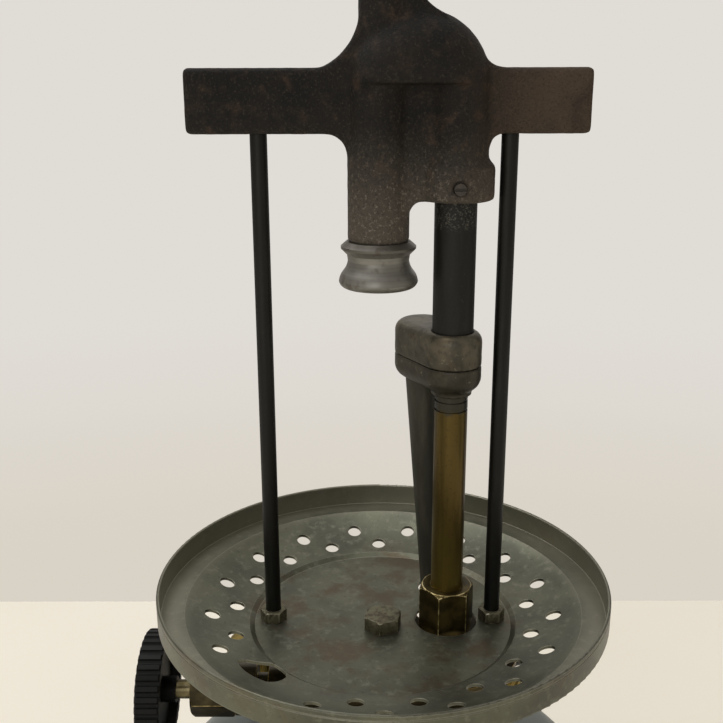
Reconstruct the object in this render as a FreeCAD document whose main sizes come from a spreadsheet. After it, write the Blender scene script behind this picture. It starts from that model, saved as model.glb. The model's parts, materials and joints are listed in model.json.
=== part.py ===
import FreeCAD, Part
import math
import os
import re

import Sketcher
from FreeCAD import Placement, Rotation, Vector

# Burner of a pressure lantern on its fuel fount, in millimetres.
# +Z is up, the origin is the middle of the foot on the lantern's axis, the crossbar lies along X
# and the control knob points to -X.

SIZES = (
    ("fit_gap", 0.05, "radial clearance of soldered, screwed and sliding fits"),
    ("face_gap", 0.1, "space left between flat faces of pieces that move apart"),
    # Fount: base, shell and the collar that the valve screws into.
    ("fount_radius", 86.0, "outside of the fount's wall"),
    ("fount_height", 101.0, "foot to the top of the crown"),
    ("fount_gauge", 1.2, "sheet of the shell and the base"),
    ("shoulder_arc", 46.0, "radius of the shoulder between wall and crown"),
    ("crown_rise", 12.0, "rise of the crown above a plain quarter round"),
    ("base_corner", 3.0, "rounding of the base's lower edge"),
    ("base_flange", 10.0, "height of the base's flange inside the wall"),
    ("collar_radius", 15.0, "outside of the fount collar's flange"),
    ("collar_flange", 2.0, "thickness of the fount collar's flange"),
    ("collar_neck", 11.0, "outside of the fount collar's neck"),
    ("collar_depth", 7.0, "depth of the fount collar below the crown"),
    # Filler neck, cap and gasket.
    ("filler_ring", 58.0, "distance of the filler from the lantern's axis"),
    ("filler_azimuth", 140.0, "bearing of the filler, degrees from +X"),
    ("filler_radius", 11.0, "outside of the filler neck"),
    ("filler_wall", 2.0, "wall of the filler neck"),
    ("filler_clear", 2.0, "space between the shell and the cap's skirt"),
    ("filler_depth", 9.0, "neck below the shell"),
    ("cap_play", 0.3, "clearance between the cap's skirt and the neck"),
    ("cap_wall", 2.6, "wall and top of the filler cap"),
    ("cap_skirt", 7.0, "depth of the filler cap's skirt"),
    ("cap_flute", 1.0, "radius of each grip flute of the filler cap"),
    ("cap_flutes", 24, "number of grip flutes of the filler cap"),
    ("gasket_gauge", 1.5, "thickness of the filler gasket"),
    # Pump, set square to the shoulder.
    ("pump_azimuth", 55.0, "bearing of the pump, degrees from +X"),
    ("pump_slope", 30.0, "rise of the pump's axis, degrees"),
    ("barrel_radius", 9.5, "outside of the pump barrel"),
    ("barrel_wall", 1.0, "wall of the pump barrel"),
    ("barrel_depth", 74.0, "pump barrel inside the shoulder"),
    ("barrel_rise", 5.0, "pump barrel outside the shoulder"),
    ("pump_cap_wall", 3.0, "wall and top of the pump cap"),
    ("pump_cap_skirt", 4.0, "depth of the pump cap's skirt"),
    ("pump_rod_radius", 2.5, "radius of the pump rod"),
    ("pump_grip_radius", 9.0, "radius of the pump handle"),
    ("pump_grip_length", 14.0, "length of the pump handle"),
    ("cup_length", 7.0, "length of the pump's leather cup"),
    ("check_length", 8.0, "length of the check valve's plug"),
    ("check_ball_radius", 2.5, "radius of the check valve's ball"),
    ("check_port", 1.5, "radius of the check valve's port"),
    ("cup_clearance", 1.5, "space between cup and check valve, pushed in"),
    # Valve body and its arm towards the knob.
    ("arm_gap", 1.0, "space between the arm and the fount collar"),
    ("arm_radius", 7.5, "outside of the valve arm"),
    ("arm_collar_radius", 8.6, "outside of the collar at the arm's end"),
    ("arm_collar_length", 7.0, "length of the collar at the arm's end"),
    ("arm_groove_radius", 5.4, "bottom of the groove behind that collar"),
    ("arm_groove_length", 4.0, "length of that groove"),
    ("arm_reach", 49.5, "end of the arm from the lantern's axis"),
    ("arm_tail", 9.0, "arm beyond the riser's axis"),
    ("gland_thread", 6.0, "radius of the thread that carries the packing nut"),
    ("gland_length", 7.5, "length of that thread"),
    ("spigot_radius", 8.0, "radius of the spigot in the fount collar"),
    ("spigot_depth", 12.0, "depth of that spigot below the crown"),
    ("pickup_radius", 4.0, "outside of the pickup tube"),
    ("pickup_wall", 0.8, "wall of the pickup tube"),
    ("pickup_insert", 6.0, "pickup tube inside the spigot"),
    ("pickup_gap", 6.0, "pickup tube above the base"),
    ("riser_radius", 7.2, "outside of the riser to the generator"),
    ("riser_thread", 6.0, "radius of the riser's thread"),
    ("riser_thread_length", 8.0, "length of the riser's thread"),
    ("riser_bore", 3.0, "fuel bore of the riser"),
    ("guard_radius", 24.0, "radius of the guard plate round the riser"),
    ("guard_gauge", 1.5, "thickness of the guard plate"),
    ("guard_drop", 11.8, "tray's disc to the guard plate's underside"),
    ("guard_notch", 7.0, "radius of the guard plate's notch under the air tube"),
    ("post_radius", 6.5, "radius of the post that carries the tray"),
    ("post_y", -5.0, "place of the post and its bolt across the lantern"),
    ("seat_x", 8.0, "place of the needle's seat along the arm"),
    ("seat_radius", 1.5, "radius of the seat's port"),
    # Needle, stem, packing nut and knob.
    ("stem_radius", 3.175, "radius of the valve stem"),
    ("needle_tip", 0.5, "radius at the needle's point"),
    ("needle_cone", 30.0, "half angle of the needle's cone, degrees"),
    ("needle_length", 16.0, "from the seat to the stem's inner end"),
    ("needle_travel", 1.6, "room for the needle behind its shoulder"),
    ("needle_thread", 8.0, "needle's threaded tail inside the stem"),
    ("needle_tail", 1.6, "radius of that tail"),
    ("packing_flats", 15.9, "packing nut across flats"),
    ("packing_length", 15.0, "length of the packing nut"),
    ("packing_end", 4.0, "end wall of the packing nut"),
    ("packing_turn", 28.0, "turn of the packing nut's first corner, degrees"),
    ("nut_chamfer", 1.4, "chamfer of the brass nuts' corners"),
    ("stem_exposed", 5.5, "stem between packing nut and knob hub"),
    ("knob_radius", 20.0, "outside of the knob"),
    ("knob_width", 8.0, "width of the knob's rim"),
    ("knob_rim", 3.6, "thickness of the knob's rim"),
    ("knob_web", 3.6, "thickness of the knob's web"),
    ("knob_dish", 1.8, "depth of the dish in the knob's outer face"),
    ("knob_bevel", 0.5, "bevel of the knob's rim"),
    ("knob_flute", 0.95, "radius of each grip flute of the knob"),
    ("knob_flutes", 36, "number of grip flutes of the knob"),
    ("hub_radius", 4.3, "radius of the knob's hub"),
    ("hub_length", 2.3, "hub standing out of the rim"),
    ("knob_screw_radius", 1.5, "radius of the knob screw's thread"),
    ("knob_screw_head", 3.9, "radius of the knob screw's head"),
    ("knob_screw_rise", 1.6, "height of the knob screw's head"),
    ("knob_screw_length", 8.0, "length of the knob screw's thread"),
    ("screw_slot", 0.8, "width and depth of a screw's slot"),
    # Tray, its vents, lighting hole and bolt.
    ("disc_lift", 27.5, "valve arm's axis to the tray's disc"),
    ("tray_radius", 73.0, "outside of the tray's rim"),
    ("tray_gauge", 1.0, "sheet of the tray"),
    ("disc_radius", 42.2, "radius of the sunken disc"),
    ("step_width", 1.8, "width of the step round the disc"),
    ("step_rise", 1.2, "height of the step round the disc"),
    ("ledge_radius", 64.5, "inner radius of the globe's ledge"),
    ("ledge_rise", 8.3, "height of the globe's ledge above the disc"),
    ("dish_arc", 55.0, "radius of the dish between step and ledge"),
    ("rim_rise", 8.0, "height of the rim above the ledge"),
    ("rim_bead", 1.6, "width of the bead at the rim's top"),
    ("rim_line", 0.25, "depth of the line below that bead"),
    ("vent_radius", 2.5, "radius of each vent hole"),
    ("vent_pitch", 21.176, "angle between vent holes, degrees"),
    ("outer_vent_ring", 56.0, "radius of the outer ring of vents"),
    ("outer_vent_start", 248.3, "bearing of the outer ring's first vent, degrees"),
    ("outer_vents", 16, "vents in the outer ring"),
    ("inner_vent_ring", 49.0, "radius of the inner ring of vents"),
    ("inner_vent_start", 260.0, "bearing of the inner ring's first vent, degrees"),
    ("inner_vents", 15, "vents in the inner ring"),
    ("light_hole_x", -37.0, "middle of the lighting hole"),
    ("light_hole_y", -33.7, "middle of the lighting hole"),
    ("light_hole_length", 15.4, "length of the lighting hole"),
    ("light_hole_width", 12.0, "width of the lighting hole"),
    ("nut_hole_radius", 10.2, "radius of the hole round the generator nut"),
    ("air_hole_radius", 6.5, "radius of the hole round the air tube"),
    ("bolt_flats", 11.1, "tray bolt across flats"),
    ("bolt_head", 4.5, "height of the tray bolt's head"),
    ("bolt_radius", 3.175, "radius of the tray bolt"),
    ("bolt_length", 15.0, "length of the tray bolt under the head"),
    ("bolt_turn", 20.0, "turn of the tray bolt's first corner, degrees"),
    # Rods and their nuts.
    ("rod_x", 36.2, "rods from the lantern's axis"),
    ("rod_radius", 2.5, "radius of the rods"),
    ("rod_span", 157.2, "tray's disc to the crossbar"),
    ("rod_insert", 10.0, "rods inside the crossbar"),
    ("rod_tail", 3.0, "rods below the lower nuts"),
    ("rod_nut_flats", 7.7, "rod nuts across flats"),
    ("rod_nut_height", 3.7, "height of the rod nuts"),
    ("small_chamfer", 0.5, "chamfer of the steel hexagons' corners"),
    # Generator, mixer and tubes.
    ("gas_line_x", 21.0, "generator, mixing tube and inlet along the crossbar"),
    ("gas_line_y", -1.0, "generator, mixing tube and inlet across the crossbar"),
    ("nut_flats", 15.9, "generator nut across flats"),
    ("nut_rise", 13.2, "top of the generator nut above the disc"),
    ("nut_hex_drop", 2.5, "hexagon of the generator nut below the disc"),
    ("nut_skirt_drop", 9.0, "skirt of the generator nut below the disc"),
    ("nut_skirt_radius", 7.4, "radius of the generator nut's skirt"),
    ("nut_turn", 10.0, "turn of the generator nut's first corner, degrees"),
    ("generator_radius", 5.15, "outside of the generator tube"),
    ("generator_wall", 1.1, "wall of the generator tube"),
    ("generator_flange", 3.0, "height of the generator's clamped flange"),
    ("generator_insert", 4.5, "generator inside the mixer"),
    ("generator_groove", 0.35, "depth of the rings turned in the generator"),
    ("generator_groove_width", 0.7, "width of those rings"),
    ("generator_groove_pitch", 3.0, "distance between those rings"),
    ("wick_radius", 3.5, "radius of the heat packing in the generator"),
    ("wick_headroom", 8.0, "space between packing and jet"),
    ("jet_head", 2.6, "height of the gas jet's head"),
    ("jet_radius", 3.4, "radius of the gas jet's head"),
    ("jet_thread", 4.0, "length of the gas jet's thread"),
    ("jet_orifice", 0.3, "radius of the gas jet's orifice"),
    ("jet_bore", 1.5, "radius of the gas jet's feed bore"),
    ("mixer_radius", 9.0, "radius of the mixer's round ends"),
    ("mixer_cap_height", 10.8, "mixer above its seam"),
    ("mixer_base_height", 8.2, "mixer below its seam"),
    ("mixer_round", 3.4, "rounding of the mixer's upper edge"),
    ("mixer_base_round", 4.5, "rounding of the mixer's lower edge"),
    ("mixer_chamber", 5.8, "radius of the mixer's chamber"),
    ("mixer_roof", 3.0, "chamber above the seam"),
    ("mixer_floor", 4.5, "chamber below the seam"),
    ("mixer_collar", 1.4, "collar under the mixer"),
    ("mixer_collar_wall", 1.1, "wall of that collar"),
    ("lobe_reach", 16.6, "generator to air tube in the mixer"),
    ("lobe_angle", 118.9, "bearing of the air tube in the mixer, degrees"),
    ("air_radius", 5.5, "outside of the air tube"),
    ("air_wall", 0.8, "wall of the air tube"),
    ("air_insert", 4.0, "air tube inside the mixer"),
    ("air_drop", 9.0, "air tube below the disc"),
    ("air_hole_x", 19.5, "air tube where it passes the disc"),
    ("air_hole_y", 20.0, "air tube where it passes the disc"),
    ("mixing_radius", 6.25, "outside of the mixing tube"),
    ("mixing_wall", 1.0, "wall of the mixing tube"),
    ("mixing_exposed", 39.0, "mixing tube between mixer and head"),
    ("mixing_insert", 7.8, "mixing tube inside the mixer"),
    ("inlet_socket", 12.0, "mixing tube inside the head"),
    # Head: crossbar, dome and the two columns of its gas passage.
    ("bar_left", 56.5, "crossbar's end towards the knob"),
    ("bar_right", 58.4, "crossbar's other end"),
    ("bar_height", 18.1, "height of the crossbar"),
    ("bar_depth", 9.6, "thickness of the crossbar"),
    ("bar_round", 1.2, "rounding of the crossbar's edges"),
    ("crease_rise", 13.8, "underside of the dome above the crossbar's foot"),
    ("dome_radius", 20.0, "radius of the dome, seen from the front"),
    ("dome_half", 12.0, "half thickness of the dome"),
    ("dome_fillet", 5.0, "height of the fillet between dome and crossbar"),
    ("dome_fillet_arc", 7.0, "radius of that fillet"),
    ("dome_flare", 9.6, "flare of the hood boss along the dome"),
    ("dome_flare_arc", 16.0, "radius of that flare"),
    ("flare_bite", 0.4, "depth that fillet and flares sink into dome and boss"),
    ("column_radius", 9.1, "radius of the head's columns"),
    ("column_x", -1.6, "mantle column along the crossbar"),
    ("column_drop", 30.7, "crossbar's foot to the mantle column's shoulder"),
    ("tenon_radius", 7.6, "radius of the tenon in the nozzle"),
    ("tenon_length", 7.4, "length of the tenon in the nozzle"),
    ("passage_radius", 5.6, "radius of the gas passage"),
    ("inlet_drop", 18.9, "crossbar's foot to the inlet collar's foot"),
    ("inlet_radius", 11.1, "radius of the inlet collar"),
    ("inlet_height", 11.8, "height of the inlet collar"),
    ("inlet_bevel", 1.9, "bevel of the inlet collar's top"),
    ("web_depth", 11.0, "thickness of the web between the columns"),
    ("web_fillet", 3.0, "fillet between web and mantle column"),
    ("left_fillet", 6.0, "fillet between crossbar and mantle column"),
    ("right_fillet", 3.4, "fillet between crossbar and inlet column"),
    ("boss_radius", 7.4, "radius of the hood boss"),
    ("boss_rise", 41.8, "top of the hood boss above the crossbar's foot"),
    ("flare_width", 10.8, "flare of the hood boss along the crossbar"),
    ("flare_rise", 17.7, "flare of the hood boss above the crossbar"),
    ("flare_arc", 17.4, "radius of that flare"),
    ("stud_radius", 3.175, "radius of the hood stud"),
    ("stud_length", 18.0, "hood stud above its boss"),
    ("stud_insert", 8.0, "hood stud inside its boss"),
    ("stud_root", 2.7, "radius of the stud's root, inside the boss and in the relief above it"),
    ("stud_relief", 0.8, "relief between boss and the stud's full size"),
    ("lock_radius", 1.7, "radius of the lock screw"),
    ("lock_rise", 4.3, "lock screw above the inlet collar's foot"),
    ("lock_proud", 2.0, "lock screw standing out of the collar"),
    # Mantle nozzle and its screen.
    ("nozzle_height", 13.8, "height of the mantle nozzle"),
    ("bulb_radius", 11.8, "widest part of the nozzle's bulb"),
    ("bulb_rise", 1.9, "height of that part"),
    ("bulb_foot", 8.9, "radius of the nozzle's flat mouth"),
    ("bulb_arc", 2.4, "rounding of the bulb below its widest part"),
    ("neck_radius", 9.1, "bottom of the mantle's tying groove"),
    ("neck_rise", 8.1, "height of that groove"),
    ("bulb_shoulder", 6.0, "rounding of the bulb above its widest part"),
    ("ridge_radius", 11.15, "radius of the nozzle's ridge"),
    ("ridge_rise", 11.7, "height of the ridge's lower edge"),
    ("ridge_width", 0.7, "width of the ridge's edge"),
    ("nozzle_lip", 9.5, "radius at the nozzle's top"),
    ("screen_radius", 7.6, "radius of the nozzle screen"),
    ("screen_gauge", 1.0, "thickness of the nozzle screen"),
    ("screen_depth", 2.4, "depth of the screen's seat"),
    ("screen_hole", 0.8, "radius of each hole in the screen"),
    ("screen_pitch", 2.5, "distance between rings of holes in the screen"),
)

# Heights and places that several pieces share, worked out from the sizes.
CROWN_ARC = ("(((fount_radius - shoulder_arc)^2 + 2 * shoulder_arc * crown_rise + crown_rise^2)"
             " / (2 * crown_rise))")
SHOULDER_R = "(fount_radius - shoulder_arc)"
SHOULDER_Z = "(fount_height - shoulder_arc - crown_rise)"
ARM = "(fount_height + collar_flange + arm_gap + arm_radius)"
DISC = f"({ARM} + disc_lift)"
BAR = f"({DISC} + rod_span)"
INLET = f"({BAR} - inlet_drop)"
MIXER_TOP = f"({INLET} - mixing_exposed)"
SEAM = f"({MIXER_TOP} - mixer_cap_height)"
MIXER_FOOT = f"({SEAM} - mixer_base_height)"
CREASE = f"({BAR} + crease_rise)"
BOSS_TOP = f"({BAR} + boss_rise)"
NOZZLE = f"({BAR} - column_drop - nozzle_height)"
LEDGE = f"({DISC} + ledge_rise)"
RISER_TOP = f"({DISC} - nut_skirt_drop + riser_thread_length)"
LOBE_X = "(gas_line_x + lobe_reach * cos(lobe_angle))"
LOBE_Y = "(gas_line_y + lobe_reach * sin(lobe_angle))"
PACKING_OUT = "(arm_reach + packing_length)"
HUB = f"({PACKING_OUT} + stem_exposed)"
KNOB_IN = f"({HUB} + hub_length)"
KNOB_OUT = f"({KNOB_IN} + knob_width)"
KNOB_FACE = f"({KNOB_OUT} - knob_dish)"
SWIVEL = "(needle_length - seat_x)"
FILLER_X = "(filler_ring * cos(filler_azimuth))"
FILLER_Y = "(filler_ring * sin(filler_azimuth))"
FILLER_Z = f"(fount_height - {CROWN_ARC} + sqrt({CROWN_ARC}^2 - filler_ring^2))"
CAP_RADIUS = "(filler_radius + cap_play + cap_wall)"
CAP_UPHILL = f"(fount_height - {CROWN_ARC} + sqrt({CROWN_ARC}^2 - (filler_ring - {CAP_RADIUS})^2))"
FILLER_TOP = f"({CAP_UPHILL} + filler_clear + cap_skirt)"
BARREL_IN = "(shoulder_arc - barrel_depth)"
BARREL_OUT = "(shoulder_arc + barrel_rise)"
BARREL_BORE = "(barrel_radius - barrel_wall)"
PUMP_CAP_OUT = f"({BARREL_OUT} + pump_cap_wall)"
CUP_IN = f"({BARREL_IN} + check_length + cup_clearance)"

UPRIGHT = Rotation()
KNOBWARD = Rotation(Vector(0, 1, 0), -90)
FRONTWARD = Rotation(Vector(1, 0, 0), 90)
HEX_SIDES = 6
CORNER = "(2 / sqrt(3))"

doc = FreeCAD.newDocument("lantern_burner")
sheet = doc.addObject("Spreadsheet::Sheet", "Sizes")
ALIASES = {alias for alias, _, _ in SIZES}
nodes = []


def fill_sheet():
    """Write each driving dimension to its own cell, with its alias and its meaning."""
    for row, (alias, number, meaning) in enumerate(SIZES, start=1):
        sheet.set(f"A{row}", alias)
        sheet.set(f"B{row}", str(number))
        sheet.set(f"C{row}", meaning)
        sheet.setAlias(f"B{row}", alias)
    doc.recompute()


def bound(text):
    """The expression with each size's name pointing at its cell."""
    return re.sub(r"[a-z_]+", lambda word: f"Sizes.{word[0]}" if word[0] in ALIASES else word[0], text)


def number(text):
    """The present value of an expression of sizes."""
    return float(sheet.evalExpression(bound(text)))


def tie(item, **properties):
    """Bind properties of a document object to expressions of sizes."""
    for name, text in properties.items():
        item.setExpression(name, bound(text))
    return item


def place(item, x="0", y="0", z="0", turn=UPRIGHT):
    """Turn an object, then bind its position to expressions of sizes."""
    item.Placement = Placement(Vector(), turn)
    for axis, text in zip("xyz", (x, y, z)):
        item.setExpression(f".Placement.Base.{axis}", bound(text))
    return item


def node(item, label):
    """Name a finished sub-part, which is written to a file of that name."""
    item.Label = label
    nodes.append(item)
    return item


def cylinder(name, radius, length, x="0", y="0", z="0", turn=UPRIGHT):
    """A round bar that starts at a point and runs along its turned Z axis."""
    bar = doc.addObject("Part::Cylinder", name)
    tie(bar, Radius=radius, Height=length)
    return place(bar, x, y, z, turn)


def block(name, length, width, height, x="0", y="0", z="0", turn=UPRIGHT):
    """A box that starts at a corner."""
    box = doc.addObject("Part::Box", name)
    tie(box, Length=length, Width=width, Height=height)
    return place(box, x, y, z, turn)


def fuse(name, *pieces):
    """One solid made of several that meet."""
    whole = doc.addObject("Part::MultiFuse", name)
    whole.Shapes = list(pieces)
    whole.Refine = True
    return whole


def cut(name, base, *tools):
    """A solid with one or more others taken out of it."""
    tool = tools[0] if len(tools) == 1 else fuse(f"{name}_tools", *tools)
    rest = doc.addObject("Part::Cut", name)
    rest.Base = base
    rest.Tool = tool
    return rest


def group(name, *pieces):
    """Separate solids that share one node."""
    several = doc.addObject("Part::Compound", name)
    several.Links = list(pieces)
    return several


def origin_part(body, role):
    """One of a body's own origin planes or axes."""
    return next(part for part in body.Origin.OriginFeatures if part.Role == role)


def new_sketch(body, name, plane):
    """A sketch on one of its body's origin planes."""
    sketch = body.newObject("Sketcher::SketchObject", name)
    sketch.AttachmentSupport = [(origin_part(body, plane), "")]
    sketch.MapMode = "FlatFace"
    return sketch


def pin_point(sketch, edge, end, across, up):
    """Hold one end of a sketch edge at a place given by two expressions."""
    for kind, text, axis in (("DistanceX", across, -2), ("DistanceY", up, -1)):
        if text == "0":
            sketch.addConstraint(Sketcher.Constraint("PointOnObject", edge, end, axis))
            continue
        rule = Sketcher.Constraint(kind, -1, 1, edge, end, number(text))
        sketch.setExpression(f"Constraints[{sketch.addConstraint(rule)}]", bound(text))


def arc_between(start, finish, radius, side):
    """The short arc that turns to one side ("left" or "right") from start to finish."""
    chord = finish - start
    rise = math.sqrt(max(radius ** 2 - (chord.Length / 2) ** 2, 0.0))
    normal = Vector(-chord.y, chord.x, 0).normalize()
    centre = (start + finish) / 2 + normal * (rise if side == "left" else -rise)
    first, last = (start, finish) if side == "left" else (finish, start)
    angles = [math.atan2(point.y - centre.y, point.x - centre.x) for point in (first, last)]
    return Part.ArcOfCircle(Part.Circle(centre, Vector(0, 0, 1), radius), *angles)


def draw(sketch, corners):
    """Draw a closed outline. A corner is (across, up), and is followed by a line, or by an arc where
    the corner goes on with a radius and the side that the arc turns to."""
    points = [Vector(number(corner[0]), number(corner[1]), 0) for corner in corners]
    ends = []
    for place_in, corner in enumerate(corners):
        start, finish = points[place_in], points[(place_in + 1) % len(points)]
        if len(corner) == 2:
            edge = sketch.addGeometry(Part.LineSegment(start, finish))
            ends.append((edge, 1, 2))
            continue
        radius, side = corner[2:]
        edge = sketch.addGeometry(arc_between(start, finish, number(radius), side))
        ends.append((edge, 1, 2) if side == "left" else (edge, 2, 1))
        rule = Sketcher.Constraint("Radius", edge, number(radius))
        sketch.setExpression(f"Constraints[{sketch.addConstraint(rule)}]", bound(radius))
    for place_in, corner in enumerate(corners):
        edge, first, last = ends[place_in]
        following, joint, _ = ends[(place_in + 1) % len(ends)]
        sketch.addConstraint(Sketcher.Constraint("Coincident", edge, last, following, joint))
        pin_point(sketch, edge, first, *corner[:2])


def draw_circle(sketch, radius, across="0", up="0"):
    """Draw a circle of a bound radius at a bound place."""
    middle = Vector(number(across), number(up), 0)
    ring = sketch.addGeometry(Part.Circle(middle, Vector(0, 0, 1), number(radius)))
    rule = Sketcher.Constraint("Radius", ring, number(radius))
    sketch.setExpression(f"Constraints[{sketch.addConstraint(rule)}]", bound(radius))
    pin_point(sketch, ring, 3, across, up)


def draw_slot(sketch, length, radius):
    """Draw a round-ended slot from the origin along the sketch's X axis."""
    reach, end = number(length), number(radius)
    near = sketch.addGeometry(Part.ArcOfCircle(
        Part.Circle(Vector(), Vector(0, 0, 1), end), math.pi / 2, 3 * math.pi / 2))
    far = sketch.addGeometry(Part.ArcOfCircle(
        Part.Circle(Vector(reach, 0, 0), Vector(0, 0, 1), end), -math.pi / 2, math.pi / 2))
    low = sketch.addGeometry(Part.LineSegment(Vector(0, -end, 0), Vector(reach, -end, 0)))
    high = sketch.addGeometry(Part.LineSegment(Vector(reach, end, 0), Vector(0, end, 0)))
    for first, following in ((near, low), (low, far), (far, high), (high, near)):
        sketch.addConstraint(Sketcher.Constraint("Tangent", first, 2, following, 1))
    pin_point(sketch, near, 3, "0", "0")
    pin_point(sketch, far, 3, length, "0")
    rule = Sketcher.Constraint("Radius", near, end)
    sketch.setExpression(f"Constraints[{sketch.addConstraint(rule)}]", bound(radius))


def turned(name, corners, angle=360):
    """A body turned about its Z axis from an outline of (radius, height) corners."""
    body = doc.addObject("PartDesign::Body", name)
    sketch = new_sketch(body, f"{name}_outline", "XZ_Plane")
    draw(sketch, corners)
    spun = body.newObject("PartDesign::Revolution", f"{name}_turning")
    spun.Profile = sketch
    spun.ReferenceAxis = (sketch, ["V_Axis"])
    spun.Angle = angle
    return body


def plate(name, corners, thickness, plane="XZ_Plane"):
    """A body padded both ways from an outline on one of its planes."""
    body = doc.addObject("PartDesign::Body", name)
    sketch = new_sketch(body, f"{name}_outline", plane)
    draw(sketch, corners)
    grown = body.newObject("PartDesign::Pad", f"{name}_pad")
    grown.Profile = sketch
    grown.SideType = "Symmetric"
    tie(grown, Length=thickness)
    return body


def holes(body, name, draw_hole, copies="1", sweep="0"):
    """Pocket a sketch right through a body, and repeat it round the body's Z axis."""
    doc.recompute()
    before = body.Shape.Volume
    sketch = new_sketch(body, f"{name}_sketch", "XY_Plane")
    draw_hole(sketch)
    pocket = body.newObject("PartDesign::Pocket", name)
    pocket.Profile = sketch
    pocket.Type = "ThroughAll"
    pocket.Midplane = True
    if copies != "1":
        ring = body.newObject("PartDesign::PolarPattern", f"{name}_ring")
        ring.Originals = [pocket]
        ring.Axis = (origin_part(body, "Z_Axis"), [""])
        tie(ring, Angle=sweep, Occurrences=copies)
        body.Tip = ring
    doc.recompute()
    if body.Shape.Volume >= before:
        raise RuntimeError(f"{name} cut nothing")


def round_off(body, name, radius, chosen):
    """Round the edges of a body's last feature that a test picks by their box."""
    doc.recompute()
    tip = body.Tip
    edges = [f"Edge{count}" for count, edge in enumerate(tip.Shape.Edges, start=1)
             if chosen(edge.BoundBox)]
    rounding = body.newObject("PartDesign::Fillet", name)
    rounding.Base = (tip, edges)
    tie(rounding, Radius=radius)


def hexagon(name, flats, length, chamfer, both_ends=True):
    """A hexagon bar from Z = 0 upwards, its corners turned to a chamfer at one end or both."""
    prism = doc.addObject("Part::Prism", f"{name}_prism")
    prism.Polygon = HEX_SIDES
    tie(prism, Circumradius=f"{flats} / 2 * {CORNER}", Height=length)
    inner, outer = f"{flats} / 2", f"{flats} / 2 * {CORNER} + {chamfer} / 2"
    foot = [("0", "0"), (inner, "0"), (outer, chamfer)] if both_ends else [("0", "0"), (outer, "0")]
    barrel = turned(f"{name}_barrel",
                    foot + [(outer, f"{length} - {chamfer}"), (inner, length), ("0", length)])
    shaped = doc.addObject("Part::Common", name)
    shaped.Base = prism
    shaped.Tool = barrel
    return shaped


def spin(degrees):
    """A turn about the vertical, read once from the sheet."""
    return Rotation(Vector(0, 0, 1), number(degrees))


def make_fount():
    """Shell with its holes, base and collar."""
    lean = f"({CROWN_ARC} - shoulder_arc)"
    across = f"({SHOULDER_R} / {lean})"
    up = f"(({CROWN_ARC} - shoulder_arc - crown_rise) / {lean})"
    inner_arc = "(shoulder_arc - fount_gauge)"
    shell = turned("fount_wall", [
        ("fount_radius - fount_gauge", "base_corner"),
        ("fount_radius", "base_corner"),
        ("fount_radius", SHOULDER_Z, "shoulder_arc", "left"),
        (f"{SHOULDER_R} + shoulder_arc * {across}", f"{SHOULDER_Z} + shoulder_arc * {up}", CROWN_ARC, "left"),
        ("0", "fount_height"),
        ("0", "fount_height - fount_gauge", f"{CROWN_ARC} - fount_gauge", "right"),
        (f"{SHOULDER_R} + {inner_arc} * {across}", f"{SHOULDER_Z} + {inner_arc} * {up}", inner_arc, "right"),
        ("fount_radius - fount_gauge", SHOULDER_Z),
    ])
    crown_hole = cylinder("crown_hole", "collar_neck + fit_gap", "fount_height", z="fount_height / 2")
    filler_hole = cylinder("filler_hole", "filler_radius + fit_gap", "fount_height",
                           FILLER_X, FILLER_Y, "fount_height / 2")
    pump_hole = on_pump_axis(cylinder("pump_hole", "barrel_radius + fit_gap", "2 * shoulder_arc"))
    node(cut("fount_shell", shell, crown_hole, filler_hole, pump_hole), "fount_shell")

    flange = "(fount_radius - fount_gauge - fit_gap)"
    node(turned("fount_base", [
        ("0", "0"),
        (f"{flange} - base_corner", "0", "base_corner", "left"),
        (flange, "base_corner"),
        (flange, "base_flange"),
        (f"{flange} - fount_gauge", "base_flange"),
        (f"{flange} - fount_gauge", "base_corner", "base_corner - fount_gauge", "right"),
        (f"{flange} - base_corner", "fount_gauge"),
        ("0", "fount_gauge"),
    ]), "fount_base")

    bore = "spigot_radius + fit_gap"
    collar = turned("fount_collar", [
        (bore, "-collar_depth"),
        ("collar_neck", "-collar_depth"),
        ("collar_neck", "0"),
        ("collar_radius", "0"),
        ("collar_radius", "collar_flange"),
        (bore, "collar_flange"),
    ])
    node(place(collar, z="fount_height"), "fount_collar")


def make_filler():
    """Filler neck, with its gasket and screw cap."""
    bore = "(filler_radius - filler_wall)"
    foot = f"({FILLER_Z} - filler_depth)"
    neck = turned("filler_neck", [
        (bore, foot),
        ("filler_radius", foot),
        ("filler_radius", FILLER_TOP),
        (bore, FILLER_TOP),
    ])
    node(place(neck, FILLER_X, FILLER_Y), "filler_neck")

    gasket = cylinder("filler_gasket", "filler_radius", "gasket_gauge",
                      FILLER_X, FILLER_Y, f"{FILLER_TOP} + face_gap")
    node(gasket, "filler_gasket")

    inside = "(filler_radius + cap_play)"
    roof = "(gasket_gauge + 2 * face_gap)"
    outside = CAP_RADIUS
    cap = turned("filler_cap", [
        ("0", roof),
        (inside, roof),
        (inside, "-cap_skirt"),
        (outside, "-cap_skirt"),
        (outside, f"{roof} + cap_wall / 2", "cap_wall / 2", "left"),
        (f"{outside} - cap_wall / 2", f"{roof} + cap_wall"),
        ("0", f"{roof} + cap_wall"),
    ])
    holes(cap, "cap_flute_cut", lambda sketch: draw_circle(sketch, "cap_flute", outside),
          "cap_flutes", "360")
    node(place(cap, FILLER_X, FILLER_Y, FILLER_TOP), "filler_cap")


def on_pump_axis(item):
    """Set a piece made along Z on the pump's axis, from the centre of the shoulder's arc outwards."""
    tilt = Rotation(Vector(0, 1, 0), 90 - number("pump_slope"))
    return place(item, f"{SHOULDER_R} * cos(pump_azimuth)", f"{SHOULDER_R} * sin(pump_azimuth)", SHOULDER_Z,
                 spin("pump_azimuth") * tilt)


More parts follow.
